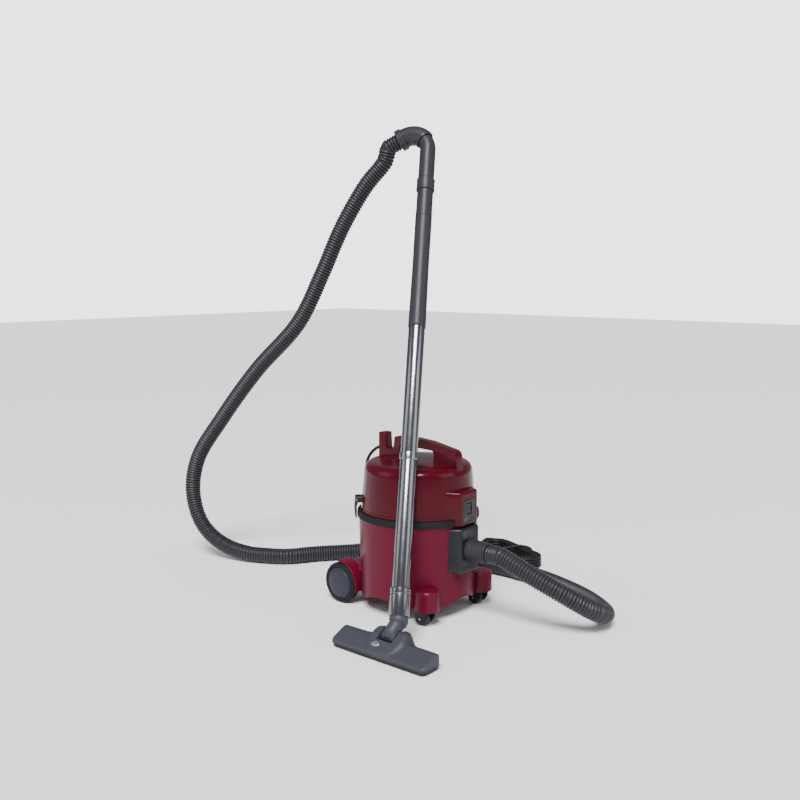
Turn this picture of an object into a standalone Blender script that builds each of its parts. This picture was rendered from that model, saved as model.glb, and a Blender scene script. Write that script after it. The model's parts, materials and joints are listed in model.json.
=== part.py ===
"""Compact tub vacuum cleaner with its hose, bent handle, wand, floor tool and mains lead.

Metres, +Z up. The machine faces -Y: the switch and the hose inlet are on that side, the axle of
the two big wheels is at +Y. Everything hangs under one empty, which at the end is moved so that
the middle of the footprint of the appliance without its hose and lead is the world's origin.
"""
import math

import bpy
import numpy as np
from mathutils import Matrix, Vector

# ---------------------------------------------------------------- driving dimensions (metres)
GAP = 0.0003                       # left between neighbouring solids
WALL = 0.003                       # moulded shell
STEPS = 40                         # facets round the big turned shells

TANK_TOP = 0.2125
TANK_TOP_R = 0.1322
TANK_BOTTOM_R = 0.1280
SKIRT_BOTTOM = 0.032
TANK_FLOOR = 0.0475
RIM_R = 0.1346
ARCH_RISE = 0.0125
ARCH_HALF_WIDTH = 0.048

SEAL_TOP = 0.2222
SEAL_R = 0.1362

HEAD_BOTTOM = 0.2226
HEAD_BOTTOM_R = 0.1275
HEAD_SHOULDER = 0.3300
HEAD_SHOULDER_R = 0.1190
HEAD_TOP = 0.3360
HEAD_FILLET = 0.0190

HANDLE_HALF_WIDTH = 0.0110
PRONG_TOP = 0.3850
PRONG_FRONT = 0.0890                # the hook for the lead, behind the handle
PRONG_BACK = 0.1090

SWITCH_HALF_WIDTH = 0.0290
SWITCH_FRONT = 0.1430
SWITCH_BACK_HALF_WIDTH = 0.0531     # where the sides run into the head
SWITCH_BOTTOM = 0.2066
SWITCH_TOP = 0.2820
ROCKER_Z = 0.2440
ROCKER_HALF_WIDTH = 0.0080
ROCKER_HALF_HEIGHT = 0.0110

PORT_Z = 0.1540
PORT_FRONT = 0.1465
PORT_HALF_WIDTH = 0.0300
PORT_BACK_HALF_WIDTH = 0.0541
PORT_LOW = 0.1040
PORT_HIGH = 0.2035
PORT_BORE_R = 0.0200
CUFF_R = 0.0232
CUFF_END = 0.1960

WHEEL_R = 0.0460
WHEEL_WIDTH = 0.0240
WHEEL_INNER_X = 0.0885
HUB_R = 0.0345
AXLE_R = 0.0050
AXLE_Y = 0.1410
AXLE_BOX_HALF = 0.0860
FENDER_R = 0.0520
FENDER_WELL_R = 0.0495

CASTER_X = 0.0932
CASTER_Y = -0.1040
CASTER_R = 0.0145
CASTER_TRAIL = 0.0100
CASTER_HOUSING_R = 0.0270
CASTER_HOUSING_TOP = 0.0780

LATCH_ANGLE = math.radians(45.0)   # from the X axis, towards the back
LATCH_HINGE_Z = 0.2450
LATCH_HINGE_R = 0.1380             # from the tub's axis to the pin

HOSE_R = 0.0200
CORD_R = 0.0036

TUBE_R = 0.01775
TUBE_WALL = 0.0012
WAND_FOOT = Vector((-0.2395, -0.1533, 0.0719))
WAND_AXIS = Vector((0.3468, 0.2210, 0.9115)).normalized()
SLEEVE_TOP = 0.0550                # heights along the wand, from its foot
LOWER_TUBE_TOP = 0.3230
UPPER_TUBE_TOP = 0.6080
GRIP_TOP = 0.8710
REGULATOR_LOW = 0.9350
REGULATOR_HIGH = 0.9635
BEND_START = 1.0397
BEND_R = 0.0420
BEND_ANGLE = math.radians(117.0)
BEND_HEADING = Vector((-0.331, 0.944, 0.0))

NECK_PIVOT = Vector((-0.2640, -0.1550, 0.0360))
TOOL_FRONT_X = -0.3120
TOOL_REAR_X = -0.2360
TOOL_HALF_LENGTH = 0.1220
TOOL_Y = -0.1550
TOOL_RIDGE_X = -0.2720
TOOL_TOP = 0.0365                  # the ridge, from which the top falls to the front and the back
TOOL_LIP = 0.0150                  # height of the front face
TOOL_BACK = 0.0190                 # height of the back face
HUMP_TOP = 0.0520
HUMP_X = -0.2660

# The hose from the handle to the inlet, chosen by hand: down from the handle, round behind the
# machine on the floor, past its left side, and back in a loop to the inlet at the front.
HOSE_ROUTE = [
    (0.095, 0.184, 1.000), (0.079, 0.230, 0.946), (0.057, 0.288, 0.850), (0.038, 0.338, 0.740),
    (0.015, 0.400, 0.620), (-0.027, 0.509, 0.500), (-0.064, 0.605, 0.372), (-0.090, 0.677, 0.260),
    (-0.096, 0.692, 0.170), (-0.088, 0.668, 0.090), (-0.066, 0.615, 0.041), (-0.035, 0.535, 0.0207),
    (0.012, 0.455, 0.0205), (0.085, 0.410, 0.0205), (0.155, 0.355, 0.0210), (0.215, 0.290, 0.0270),
    (0.255, 0.215, 0.0285), (0.283, 0.130, 0.0225), (0.297, 0.040, 0.0205), (0.300, -0.050, 0.0205),
    (0.290, -0.140, 0.0205), (0.266, -0.222, 0.0205), (0.232, -0.300, 0.0205), (0.188, -0.362, 0.0220),
    (0.138, -0.398, 0.0320), (0.088, -0.400, 0.0520), (0.048, -0.368, 0.0820), (0.020, -0.315, 0.1130),
    (0.005, -0.262, 0.1390),
]

# The lead from its gland to the hank, chosen by hand: over the back of the head, down to the
# floor, under the hose and on to the hank.
GLAND_TURN = math.radians(77.0)    # from the X axis, towards the back
GLAND_REACH = 0.0110               # how far the gland stands out of the head
LEAD_ROUTE = [
    (0.0230, 0.1320, 0.3440), (0.0090, 0.1480, 0.3310), (0.0010, 0.1570, 0.3080), (0.0040, 0.1610, 0.2750),
    (0.0160, 0.1660, 0.2250), (0.0280, 0.1750, 0.1650), (0.0360, 0.1870, 0.1000), (0.0440, 0.2010, 0.0480),
    (0.0580, 0.2200, 0.0140), (0.0770, 0.2400, 0.0045), (0.1050, 0.2540, 0.0038), (0.1450, 0.2560, 0.0038),
    (0.2000, 0.2430, 0.0038), (0.2550, 0.2260, 0.0038), (0.3100, 0.2080, 0.0038), (0.3600, 0.1790, 0.0045),
    (0.4000, 0.1635, 0.0055)]
LEAD_END = Vector((0.4365, 0.1498, 0.0058))

HANK_CENTRE = Vector((0.4250, 0.0450, 0.0))
HANK_HEADING = math.radians(70.7)
HANK_HALF_RUN = 0.0650
HANK_HALF_WIDTH = 0.0411
HANK_LOW = 0.0022
HANK_HIGH = 0.0320
TIE_WALL = 0.0015
TIE_HALF_WIDTH = 0.0060

TAIL_START = Vector((0.4562, 0.1498, 0.0268))
TAIL_ROUTE = [(0.4700, 0.1535, 0.0255), (0.4860, 0.1520, 0.0225), (0.4990, 0.1430, 0.0190),
              (0.5065, 0.1280, 0.0160), (0.5080, 0.1120, 0.0140)]
PLUG_BACK = Vector((0.4998, 0.0739, 0.0125))
PLUG_HEADING = Vector((-0.3305, -0.9438, 0.0)).normalized()

COLOURS = {                        # base colour, roughness, metallic
    "burgundy": ((0.130, 0.008, 0.022), 0.22, 0.0),
    "tank_red": ((0.155, 0.012, 0.030), 0.35, 0.0),
    "black": ((0.018, 0.019, 0.023), 0.45, 0.0),
    "rubber": ((0.015, 0.015, 0.017), 0.80, 0.0),
    "hub_grey": ((0.055, 0.060, 0.075), 0.45, 0.0),
    "hose_grey": ((0.060, 0.055, 0.075), 0.50, 0.0),
    "tool_grey": ((0.100, 0.100, 0.120), 0.55, 0.0),
    "chrome": ((0.60, 0.61, 0.62), 0.12, 1.0),
    "steel": ((0.45, 0.45, 0.46), 0.35, 1.0),
    "copper": ((0.50, 0.20, 0.10), 0.40, 1.0),
    "cloth": ((0.62, 0.60, 0.55), 0.90, 0.0),
    "white_plastic": ((0.55, 0.55, 0.52), 0.50, 0.0),
    "bristle": ((0.030, 0.030, 0.032), 0.90, 0.0),
}


# ---------------------------------------------------------------- scene set-up
for old in list(bpy.data.objects):
    bpy.data.objects.remove(old, do_unlink=True)
PARTS = bpy.data.collections.new("shop_vacuum")
CUTTERS = bpy.data.collections.new("cutters")
for made in (PARTS, CUTTERS):
    bpy.context.scene.collection.children.link(made)
MATERIALS = {}


def new_empty(name, location=(0.0, 0.0, 0.0), parent=None, rotation=None):
    """An empty that carries the parts of one assembly."""
    empty = bpy.data.objects.new(name, None)
    PARTS.objects.link(empty)
    empty.rotation_mode = "QUATERNION"
    empty.location = location
    if rotation is not None:
        empty.rotation_quaternion = rotation
    if parent is not None:
        empty.parent = parent
    return empty


ROOT = new_empty("vacuum_origin")


def material(name):
    """The Principled material of one finish, made once."""
    if name not in MATERIALS:
        colour, roughness, metallic = COLOURS[name]
        made = bpy.data.materials.new(name)
        made.use_nodes = True
        shader = made.node_tree.nodes["Principled BSDF"]
        shader.inputs["Base Color"].default_value = (*colour, 1.0)
        shader.inputs["Roughness"].default_value = roughness
        shader.inputs["Metallic"].default_value = metallic
        MATERIALS[name] = made
    return MATERIALS[name]


def settle(thing, name, finish, parent=None):
    """Name an object, give it its finish and put it in the parts, or in the cutters for no finish."""
    thing.name = name
    thing.data.name = name
    for home in list(thing.users_collection):
        home.objects.unlink(thing)
    (PARTS if finish else CUTTERS).objects.link(thing)
    if finish:
        thing.data.materials.clear()
        thing.data.materials.append(material(finish))
    else:
        thing.hide_render = True
        thing.display_type = "WIRE"
    thing.parent = parent or ROOT
    if thing.type == "MESH":
        thing.data.shade_smooth()
        if thing.data.polygons:
            thing.data.set_sharp_from_angle(angle=math.radians(35.0))
    return thing


def bevel(thing, width, segments=2):
    """Round the sharp edges."""
    made = thing.modifiers.new("Edges", "BEVEL")
    made.width = width
    made.segments = segments
    made.limit_method = "ANGLE"
    made.angle_limit = math.radians(40.0)
    return thing


def combine(thing, other, operation="DIFFERENCE"):
    """Cut another object out of this one, or join the two."""
    made = thing.modifiers.new(operation.title(), "BOOLEAN")
    made.operation = operation
    made.object = other
    return thing


def box(name, low, high, finish=None, round_edges=0.0, parent=None):
    """A box between two corners."""
    low, high = Vector(low), Vector(high)
    bpy.ops.mesh.primitive_cube_add(size=1.0, location=(low + high) / 2)
    thing = bpy.context.object
    thing.data.transform(Matrix.Diagonal((*(high - low), 1.0)))
    settle(thing, name, finish, parent)
    return bevel(thing, round_edges) if round_edges else thing


def rod(name, start, end, radius, finish=None, sides=24, end_radius=None, round_edges=0.0, parent=None):
    """A solid cylinder or cone between two points, with its origin at the start."""
    start, end = Vector(start), Vector(end)
    length = (end - start).length
    tip = radius if end_radius is None else end_radius
    bpy.ops.mesh.primitive_cone_add(vertices=sides, radius1=radius, radius2=tip, depth=length)
    thing = bpy.context.object
    thing.data.transform(Matrix.Translation((0.0, 0.0, length / 2)))
    thing.rotation_mode = "QUATERNION"
    thing.rotation_quaternion = (end - start).to_track_quat("Z", "Y")
    thing.location = start
    settle(thing, name, finish, parent)
    return bevel(thing, round_edges) if round_edges else thing


def turned(name, profile, finish=None, steps=STEPS, ring=True, location=(0, 0, 0), axis=(0, 0, 1),
           parent=None):
    """A profile of (radius, height) pairs turned round an axis; ring closes the profile on itself."""
    count = len(profile)
    edges = [(n, n + 1) for n in range(count - 1)] + ([(count - 1, 0)] if ring else [])
    mesh = bpy.data.meshes.new(name)
    mesh.from_pydata([(radius, 0.0, height) for radius, height in profile], edges, [])
    thing = bpy.data.objects.new(name, mesh)
    thing.rotation_mode = "QUATERNION"
    thing.rotation_quaternion = Vector(axis).to_track_quat("Z", "Y")
    thing.location = location
    settle(thing, name, finish, parent)
    made = thing.modifiers.new("Turn", "SCREW")
    made.steps = steps
    made.render_steps = steps
    made.use_merge_vertices = True
    made.merge_threshold = 0.0001
    made.use_smooth_shade = True
    return thing


def ring(name, inner, outer, low, high, finish=None, steps=32, **place):
    """A plain turned ring."""
    return turned(name, [(outer, high), (outer, low), (inner, low), (inner, high)], finish, steps, **place)


def fillet(before, corner, after, radius, steps=4):
    """Points of the arc that rounds one corner of an outline."""
    corner = Vector(corner)
    back = (Vector(before) - corner).normalized()
    ahead = (Vector(after) - corner).normalized()
    half = back.angle(ahead) / 2
    start = corner + back * (radius / math.tan(half))
    end = corner + ahead * (radius / math.tan(half))
    centre = corner + (back + ahead).normalized() * (radius / math.sin(half))
    points = []
    for n in range(steps + 1):
        spoke = (start - centre).lerp(end - centre, n / steps).normalized()
        points.append(tuple(centre + spoke * radius))
    return points


def outline(name, loops, half_depth, finish=None, frame=Matrix(), round_edges=0.0, parent=None):
    """A flat outline, with holes as further loops, given its thickness as a 2D curve."""
    curve = bpy.data.curves.new(name, "CURVE")
    curve.dimensions = "2D"
    curve.fill_mode = "BOTH"
    curve.extrude = half_depth
    for loop in loops:
        spline = curve.splines.new("POLY")
        spline.points.add(len(loop) - 1)
        spline.use_cyclic_u = True
        for point, (across, up) in zip(spline.points, loop):
            point.co = (across, up, 0.0, 1.0)
    thing = bpy.data.objects.new(name, curve)
    thing = as_mesh(thing, name)
    thing.rotation_mode = "QUATERNION"
    thing.matrix_world = frame
    settle(thing, name, finish, parent)
    return bevel(thing, round_edges) if round_edges else thing


def as_mesh(thing, name):
    """A curve object turned into a welded mesh object that can be cut."""
    import bmesh
    bpy.context.scene.collection.objects.link(thing)
    graph = bpy.context.evaluated_depsgraph_get()
    mesh = bpy.data.meshes.new_from_object(thing.evaluated_get(graph))
    shape = bmesh.new()
    shape.from_mesh(mesh)
    bmesh.ops.remove_doubles(shape, verts=shape.verts, dist=0.00001)
    bmesh.ops.recalc_face_normals(shape, faces=shape.faces)
    shape.to_mesh(mesh)
    shape.free()
    solid = bpy.data.objects.new(name, mesh)
    solid.matrix_world = thing.matrix_world
    bpy.data.objects.remove(thing, do_unlink=True)
    return solid


def smooth_route(points, spacing, lowest=0.0):
    """Evenly spaced points on the smooth curve through the given ones, straight at both ends."""
    first, last, points = points[0], points[-1], points[1:-1]
    points = np.array([tuple(p) for p in points], dtype=float)
    ends = np.vstack([2 * points[0] - points[1], points, 2 * points[-1] - points[-2]])
    knots = np.concatenate([[0.0], np.cumsum(np.sqrt(np.linalg.norm(np.diff(ends, axis=0), axis=1)))])
    fine = []
    for n in range(1, len(ends) - 2):
        p0, p1, p2, p3 = ends[n - 1:n + 3]
        t0, t1, t2, t3 = knots[n - 1:n + 3]
        for t in np.linspace(t1, t2, 24, endpoint=False):
            a1 = (t1 - t) / (t1 - t0) * p0 + (t - t0) / (t1 - t0) * p1
            a2 = (t2 - t) / (t2 - t1) * p1 + (t - t1) / (t2 - t1) * p2
            a3 = (t3 - t) / (t3 - t2) * p2 + (t - t2) / (t3 - t2) * p3
            b1 = (t2 - t) / (t2 - t0) * a1 + (t - t0) / (t2 - t0) * a2
            b2 = (t3 - t) / (t3 - t1) * a2 + (t - t1) / (t3 - t1) * a3
            fine.append((t2 - t) / (t2 - t1) * b1 + (t - t1) / (t2 - t1) * b2)
    fine = np.array(fine + [points[-1]])
    along = np.concatenate([[0.0], np.cumsum(np.linalg.norm(np.diff(fine, axis=0), axis=1))])
    wanted = np.linspace(0.0, along[-1], max(2, round(along[-1] / spacing) + 1))
    places = np.column_stack([np.interp(wanted, along, fine[:, axis]) for axis in range(3)])
    places[:, 2] = np.maximum(places[:, 2], lowest)
    return np.vstack([first, places, last])


def round_curve(name, points, radius, resolution):
    """A round tube along points, as a curve object that isn't yet in a collection."""
    curve = bpy.data.curves.new(name, "CURVE")
    curve.dimensions = "3D"
    curve.bevel_depth = radius
    curve.bevel_resolution = resolution
    curve.use_fill_caps = True
    spline = curve.splines.new("POLY")
    spline.points.add(len(points) - 1)
    for point, place in zip(spline.points, points):
        point.co = (*place, 1.0)
    return bpy.data.objects.new(name, curve)


def cord(name, points, radius, finish, resolution=2, parent=None):
    """The plain solid of a flexible tube."""
    return settle(round_curve(name, points, radius, resolution), name, finish, parent)


def pipe(name, points, outer, inner, finish, parent=None):
    """A hollow bent tube, open at both ends."""
    thing = settle(as_mesh(round_curve(name, points, outer, 4), name), name, finish, parent)
    lead_in = points[0] + (points[0] - points[1]).normalized() * 0.002
    lead_out = points[-1] + (points[-1] - points[-2]).normalized() * 0.002
    core_points = [lead_in, *points[1:-1], lead_out]
    core = as_mesh(round_curve(name + "_bore", core_points, inner, 4), name + "_bore")
    return combine(thing, settle(core, name + "_bore", None, parent))


def both_sides(build):
    """Build a piece on the machine's right (-X) and left (+X) side."""
    for side, word in ((-1, "right"), (1, "left")):
        build(side, word)


# ---------------------------------------------------------------- tank
def tank_profile(wall):
    """Profile of the tub: outside from the rim down to the skirt, then the floor and the inside."""
    return [
        (0.0, TANK_FLOOR + wall),
        (TANK_BOTTOM_R - wall, TANK_FLOOR + wall),
        (TANK_TOP_R - wall, TANK_TOP),
        (RIM_R, TANK_TOP), (RIM_R, TANK_TOP - 0.006), (TANK_TOP_R, TANK_TOP - 0.0085),
        (TANK_BOTTOM_R, SKIRT_BOTTOM + 0.002), (TANK_BOTTOM_R - 0.0015, SKIRT_BOTTOM),
        (TANK_BOTTOM_R - wall, SKIRT_BOTTOM), (TANK_BOTTOM_R - wall, TANK_FLOOR),
        (0.0, TANK_FLOOR),
    ]


def build_tank():
    """The tub with its skirt, axle box, wheel arches and caster housings, all one moulding."""
    tank = turned("tank_shell", tank_profile(WALL), "tank_red", ring=False)
    axle_box = box("axle_box", (-AXLE_BOX_HALF, 0.096, 0.034), (AXLE_BOX_HALF, 0.160, 0.086),
                   round_edges=0.006)
    combine(tank, axle_box, "UNION")
    for side in (-1, 1):
        fender = rod(f"fender_{side}", (side * 0.078, AXLE_Y, WHEEL_R), (side * 0.110, AXLE_Y, WHEEL_R),
                     FENDER_R, sides=32)
        combine(fender, rod(f"wheel_well_{side}", (side * (AXLE_BOX_HALF + 0.0010), AXLE_Y, WHEEL_R),
                            (side * 0.130, AXLE_Y, WHEEL_R), FENDER_WELL_R, sides=32))
        combine(fender, box(f"fender_end_{side}", (-0.13, AXLE_Y + 0.006, -0.02), (0.13, 0.22, 0.12)))
        combine(fender, box(f"fender_foot_{side}", (-0.13, 0.05, -0.02), (0.13, 0.22, 0.0335)))
        combine(tank, fender, "UNION")
        housing = rod(f"housing_{side}", (side * CASTER_X, CASTER_Y, 0.034),
                      (side * CASTER_X, CASTER_Y, CASTER_HOUSING_TOP), CASTER_HOUSING_R, sides=24,
                      end_radius=CASTER_HOUSING_R - 0.003)
        combine(tank, housing, "UNION")
    for side in (-1, 1):
        combine(tank, rod(f"fork_clearance_{side}", (side * CASTER_X, CASTER_Y, 0.02),
                          (side * CASTER_X, CASTER_Y, 0.0340), CASTER_HOUSING_R + 0.001, sides=24))
        socket = rod(f"socket_hole_{side}", (side * CASTER_X, CASTER_Y, 0.030),
                     (side * CASTER_X, CASTER_Y, 0.0620), 0.0053, sides=20)
        combine(tank, socket)
    combine(tank, rod("axle_bore", (-0.12, AXLE_Y, WHEEL_R), (0.12, AXLE_Y, WHEEL_R), AXLE_R + GAP,
                      sides=24))
    arch_r = (ARCH_HALF_WIDTH ** 2 + ARCH_RISE ** 2) / (2 * ARCH_RISE)
    arch_z = SKIRT_BOTTOM + ARCH_RISE - arch_r
    combine(tank, rod("side_arches", (-0.15, 0.004, arch_z), (0.15, 0.004, arch_z), arch_r, sides=96))
    combine(tank, rod("front_arch", (0.0, -0.15, arch_z), (0.0, -0.09, arch_z), arch_r, sides=96))
    combine(tank, rod("inlet_hole", (0, -0.15, PORT_Z), (0, -0.10, PORT_Z), PORT_BORE_R + 0.0018,
                      sides=32))


def build_rim():
    """The black sealing ring that sits on the rim and overhangs it."""
    turned("rim_seal", [
        (SEAL_R - 0.0015, SEAL_TOP), (SEAL_R, SEAL_TOP - 0.002), (SEAL_R, TANK_TOP - 0.004),
        (RIM_R + GAP, TANK_TOP - 0.004), (RIM_R + GAP, TANK_TOP + GAP),
        (0.1262, TANK_TOP + GAP), (0.1262, SEAL_TOP)], "black")


def build_filter():
    """The moulded ring that drops into the rim and the cloth bag that hangs from it."""
    turned("filter_ring", [
        (0.1252, 0.2205), (0.1252, 0.2150), (0.0900, 0.2150), (0.0900, 0.2190), (0.1180, 0.2205)],
        "white_plastic", steps=36)
    top, low = 0.2147, 0.1030
    turned("filter_cloth", [
        (0.0, low + 0.002), (0.070, low + 0.002), (0.0840, low + 0.016), (0.0880, top), (0.1000, top),
        (0.1000, top - 0.002), (0.0905, top - 0.002), (0.0862, low + 0.015), (0.072, low), (0.0, low)],
        "cloth", steps=32, ring=False)


def splayed(front_half, front, back_half, back):
    """Plan of a housing that stands out from a round wall and widens towards it."""
    return [(-front_half, front), (front_half, front), (back_half, back), (-back_half, back)]


def build_inlet():
    """The black inlet block on the front of the tank, its stub and the cuff that turns in it."""
    middle = Matrix.Translation((0, 0, (PORT_LOW + PORT_HIGH) / 2))
    block = outline("inlet_block", [splayed(PORT_HALF_WIDTH, -PORT_FRONT, PORT_BACK_HALF_WIDTH, -0.1100)],
                    (PORT_HIGH - PORT_LOW) / 2, "black", middle, round_edges=0.005)
    combine(block, rod("block_back", (0, 0, 0.03), (0, 0, TANK_TOP), TANK_BOTTOM_R + GAP, sides=STEPS,
                       end_radius=TANK_TOP_R + 2 * GAP))
    stub = rod("inlet_stub", (0, -0.1400, PORT_Z), (0, -0.1150, PORT_Z), PORT_BORE_R + 0.0014, sides=32)
    combine(block, stub, "UNION")
    combine(block, rod("inlet_bore", (0, -0.16, PORT_Z), (0, -0.10, PORT_Z), PORT_BORE_R, sides=32))
    spigot = PORT_BORE_R - GAP
    turned("hose_inlet_cuff", [
        (spigot, 0.0), (spigot, 0.0200), (CUFF_R + 0.0008, 0.0200 + GAP), (CUFF_R + 0.0008, 0.0250),
        (CUFF_R, 0.0265), (CUFF_R - 0.0015, CUFF_END - PORT_FRONT + 0.0200),
        (0.0170, CUFF_END - PORT_FRONT + 0.0200), (0.0170, 0.0)][::-1],
        "tool_grey", steps=32, location=(0, -PORT_FRONT + 0.0200, PORT_Z), axis=(0, -1, 0))


# ---------------------------------------------------------------- running gear
def build_wheel(side, word):
    """One big rear wheel: a dished hub with its tyre, turning on the axle."""
    centre = (side * WHEEL_INNER_X, AXLE_Y, WHEEL_R)
    out = (side, 0, 0)
    turned(f"wheel_hub_{word}", [
        (0.0, 0.0262), (0.0105, 0.0262), (0.0260, 0.0245), (0.0290, 0.0205), (0.0320, 0.0205),
        (HUB_R, 0.0190), (HUB_R, 0.0040), (0.0300, 0.0040), (0.0280, 0.0140), (0.0120, 0.0140),
        (0.0120, 0.0004), (AXLE_R + GAP, 0.0004), (AXLE_R + GAP, 0.0215), (0.0, 0.0215)],
        "hub_grey", steps=24, ring=False, location=centre, axis=out)
    tyre = HUB_R + GAP
    turned(f"tyre_{word}", [
        (tyre, 0.0215), (0.0400, 0.0225), (0.0440, 0.0205), (WHEEL_R, 0.0160), (WHEEL_R, 0.0070),
        (0.0440, 0.0025), (0.0400, 0.0005), (tyre, 0.0015)], "rubber", steps=28, location=centre, axis=out)


def build_caster(side, word):
    """One front caster: swivelling fork with its stem, pin and wheel."""
    at = Vector((side * CASTER_X, CASTER_Y, 0.0))
    swivel = new_empty(f"caster_swivel_{word}", at, ROOT)
    trail = CASTER_TRAIL
    fork = rod(f"caster_fork_{word}", (0, 0, 0.0302), (0, 0, 0.0336), 0.0150, "black", sides=24,
               parent=swivel)
    stem = rod(f"caster_stem_{word}", (0, 0, 0.0320), (0, 0, 0.0600), 0.0050, sides=16, parent=swivel)
    combine(fork, stem, "UNION")
    for cheek in (-1, 1):
        low, high = sorted((cheek * 0.0094, cheek * 0.0126))
        plate = box(f"caster_cheek_{word}_{cheek}", (low, -0.0080, 0.0080), (high, trail + 0.0075, 0.0325),
                    parent=swivel)
        combine(fork, plate, "UNION")
    combine(fork, rod(f"caster_pin_hole_{word}", (-0.02, trail, CASTER_R), (0.02, trail, CASTER_R),
                      0.0028, sides=16, parent=swivel))
    rod(f"caster_pin_{word}", (-0.0132, trail, CASTER_R), (0.0132, trail, CASTER_R), 0.0025, "steel",
        sides=16, parent=swivel)
    turned(f"caster_wheel_{word}", [
        (0.0028, 0.0088), (0.0120, 0.0088), (CASTER_R, 0.0070), (CASTER_R, -0.0070), (0.0120, -0.0088),
        (0.0028, -0.0088)], "rubber", steps=24, location=(0, trail, CASTER_R), axis=(1, 0, 0),
        parent=swivel)


# ---------------------------------------------------------------- head
def head_profile(grow):
    """Outside of the head from the crown down to its lower edge, grown by a clearance."""
    side = (HEAD_BOTTOM_R + grow, HEAD_BOTTOM)
    shoulder = (HEAD_SHOULDER_R + grow, HEAD_SHOULDER + grow)
    crown = (0.060, HEAD_TOP - 0.0012 + grow)
    return [(0.0, HEAD_TOP + grow), crown, *fillet(crown, shoulder, side, HEAD_FILLET, 5), side]


def build_head_cover():
    """The glossy domed cover over the motor."""
    outer = head_profile(0.0)
    inner = head_profile(-WALL)
    cover = turned("head_cover", outer + inner[::-1], "burgundy", ring=False)
    combine(cover, box("exhaust_window", (-0.036, 0.100, 0.250), (0.036, 0.140, 0.286)))
    seat, facing = gland_seat()
    combine(cover, rod("gland_hole", seat - facing * 0.012, seat + facing * 0.012, 0.0062, sides=20))
    combine(cover, box("switch_window", (-0.020, -0.140, 0.228), (0.020, -0.108, 0.262)))


def build_exhaust():
    """The slotted exhaust grille behind the window at the back of the head."""
    grille = box("exhaust_grille", (-0.0338, 0.1085, 0.2470), (0.0338, 0.1125, 0.2890), "black",
                 round_edges=0.001)
    for n in range(5):
        z = 0.2535 + n * 0.0068
        combine(grille, box(f"exhaust_slot_{n}", (-0.028, 0.10, z), (0.028, 0.12, z + 0.0034)))


def build_handle():
    """The bridge handle along the top of the head, with the upright hook for the lead behind it."""
    front, rear, back = -0.1180, 0.0616, PRONG_BACK
    profile = [(front, 0.2960), (-0.0520, 0.2960),
               *fillet((-0.0520, 0.30), (-0.0520, 0.3590), (0.0, 0.3620), 0.008, 3),
               *fillet((0.0, 0.3620), (0.0460, 0.3620), (0.0460, 0.30), 0.008, 3),
               (0.0460, 0.2960), (back, 0.2960),
               *fillet((back, 0.30), (back, PRONG_TOP), (0.08, PRONG_TOP), 0.004, 2),
               *fillet((back, PRONG_TOP), (PRONG_FRONT, PRONG_TOP), (PRONG_FRONT, 0.30), 0.003, 2),
               (PRONG_FRONT - 0.0025, 0.3500), (rear + 0.0035, 0.3500),
               *fillet((rear, 0.30), (rear, 0.3790), (0.0, 0.3830), 0.006, 3),
               (0.0400, 0.3815), (0.0, 0.3810), (-0.0400, 0.3780),
               *fillet((-0.04, 0.378), (-0.1150, 0.3640), (front, 0.30), 0.018, 5)]
    frame = Matrix(((0, 0, 1, 0), (1, 0, 0, 0), (0, 1, 0, 0), (0, 0, 0, 1)))
    handle = outline("carry_handle", [profile], HANDLE_HALF_WIDTH, "burgundy", frame)
    grown = turned("head_core", head_profile(GAP) + [(0.0, HEAD_BOTTOM)], ring=False)
    combine(handle, grown)


def build_switch():
    """The switch housing on the front of the head, its black panel and the rocker."""
    middle = Matrix.Translation((0, 0, (SWITCH_BOTTOM + SWITCH_TOP) / 2))
    housing = outline("switch_housing", [splayed(SWITCH_HALF_WIDTH, -SWITCH_FRONT,
                                                 SWITCH_BACK_HALF_WIDTH, -0.1000)],
                      (SWITCH_TOP - SWITCH_BOTTOM) / 2, "burgundy", middle, round_edges=0.0045)
    core = turned("housing_back", head_profile(GAP) + [(0.0, HEAD_BOTTOM)], ring=False)
    combine(housing, core)
    combine(housing, rod("housing_skirt_back", (0, 0, 0.19), (0, 0, HEAD_BOTTOM + 0.001),
                         SEAL_R + 3 * GAP, sides=STEPS))
    combine(housing, box("panel_recess", (-0.0203, -0.150, 0.2107), (0.0203, -0.1395, 0.2643)))
    combine(housing, box("switch_cavity", (-0.0180, -0.141, 0.2300), (0.0180, -0.110, 0.2600)))
    panel = box("switch_panel", (-0.0200, -0.1428, 0.2110), (0.0200, -0.1398, 0.2640), "black",
                round_edges=0.0008)
    combine(panel, box("rocker_window", (-ROCKER_HALF_WIDTH - 0.0006, -0.15, ROCKER_Z - 0.0124),
                       (ROCKER_HALF_WIDTH + 0.0006, -0.13, ROCKER_Z + 0.0124)))
    rocker = box("switch_rocker", (-ROCKER_HALF_WIDTH, -0.0045, -ROCKER_HALF_HEIGHT),
                 (ROCKER_HALF_WIDTH, 0.0050, ROCKER_HALF_HEIGHT), "hub_grey", round_edges=0.0010)
    rocker.location = (0.0, -0.1385, ROCKER_Z)
    rocker.data.transform(Matrix.Translation(Vector((0.0, 0.00025, 0.0))))


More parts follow.
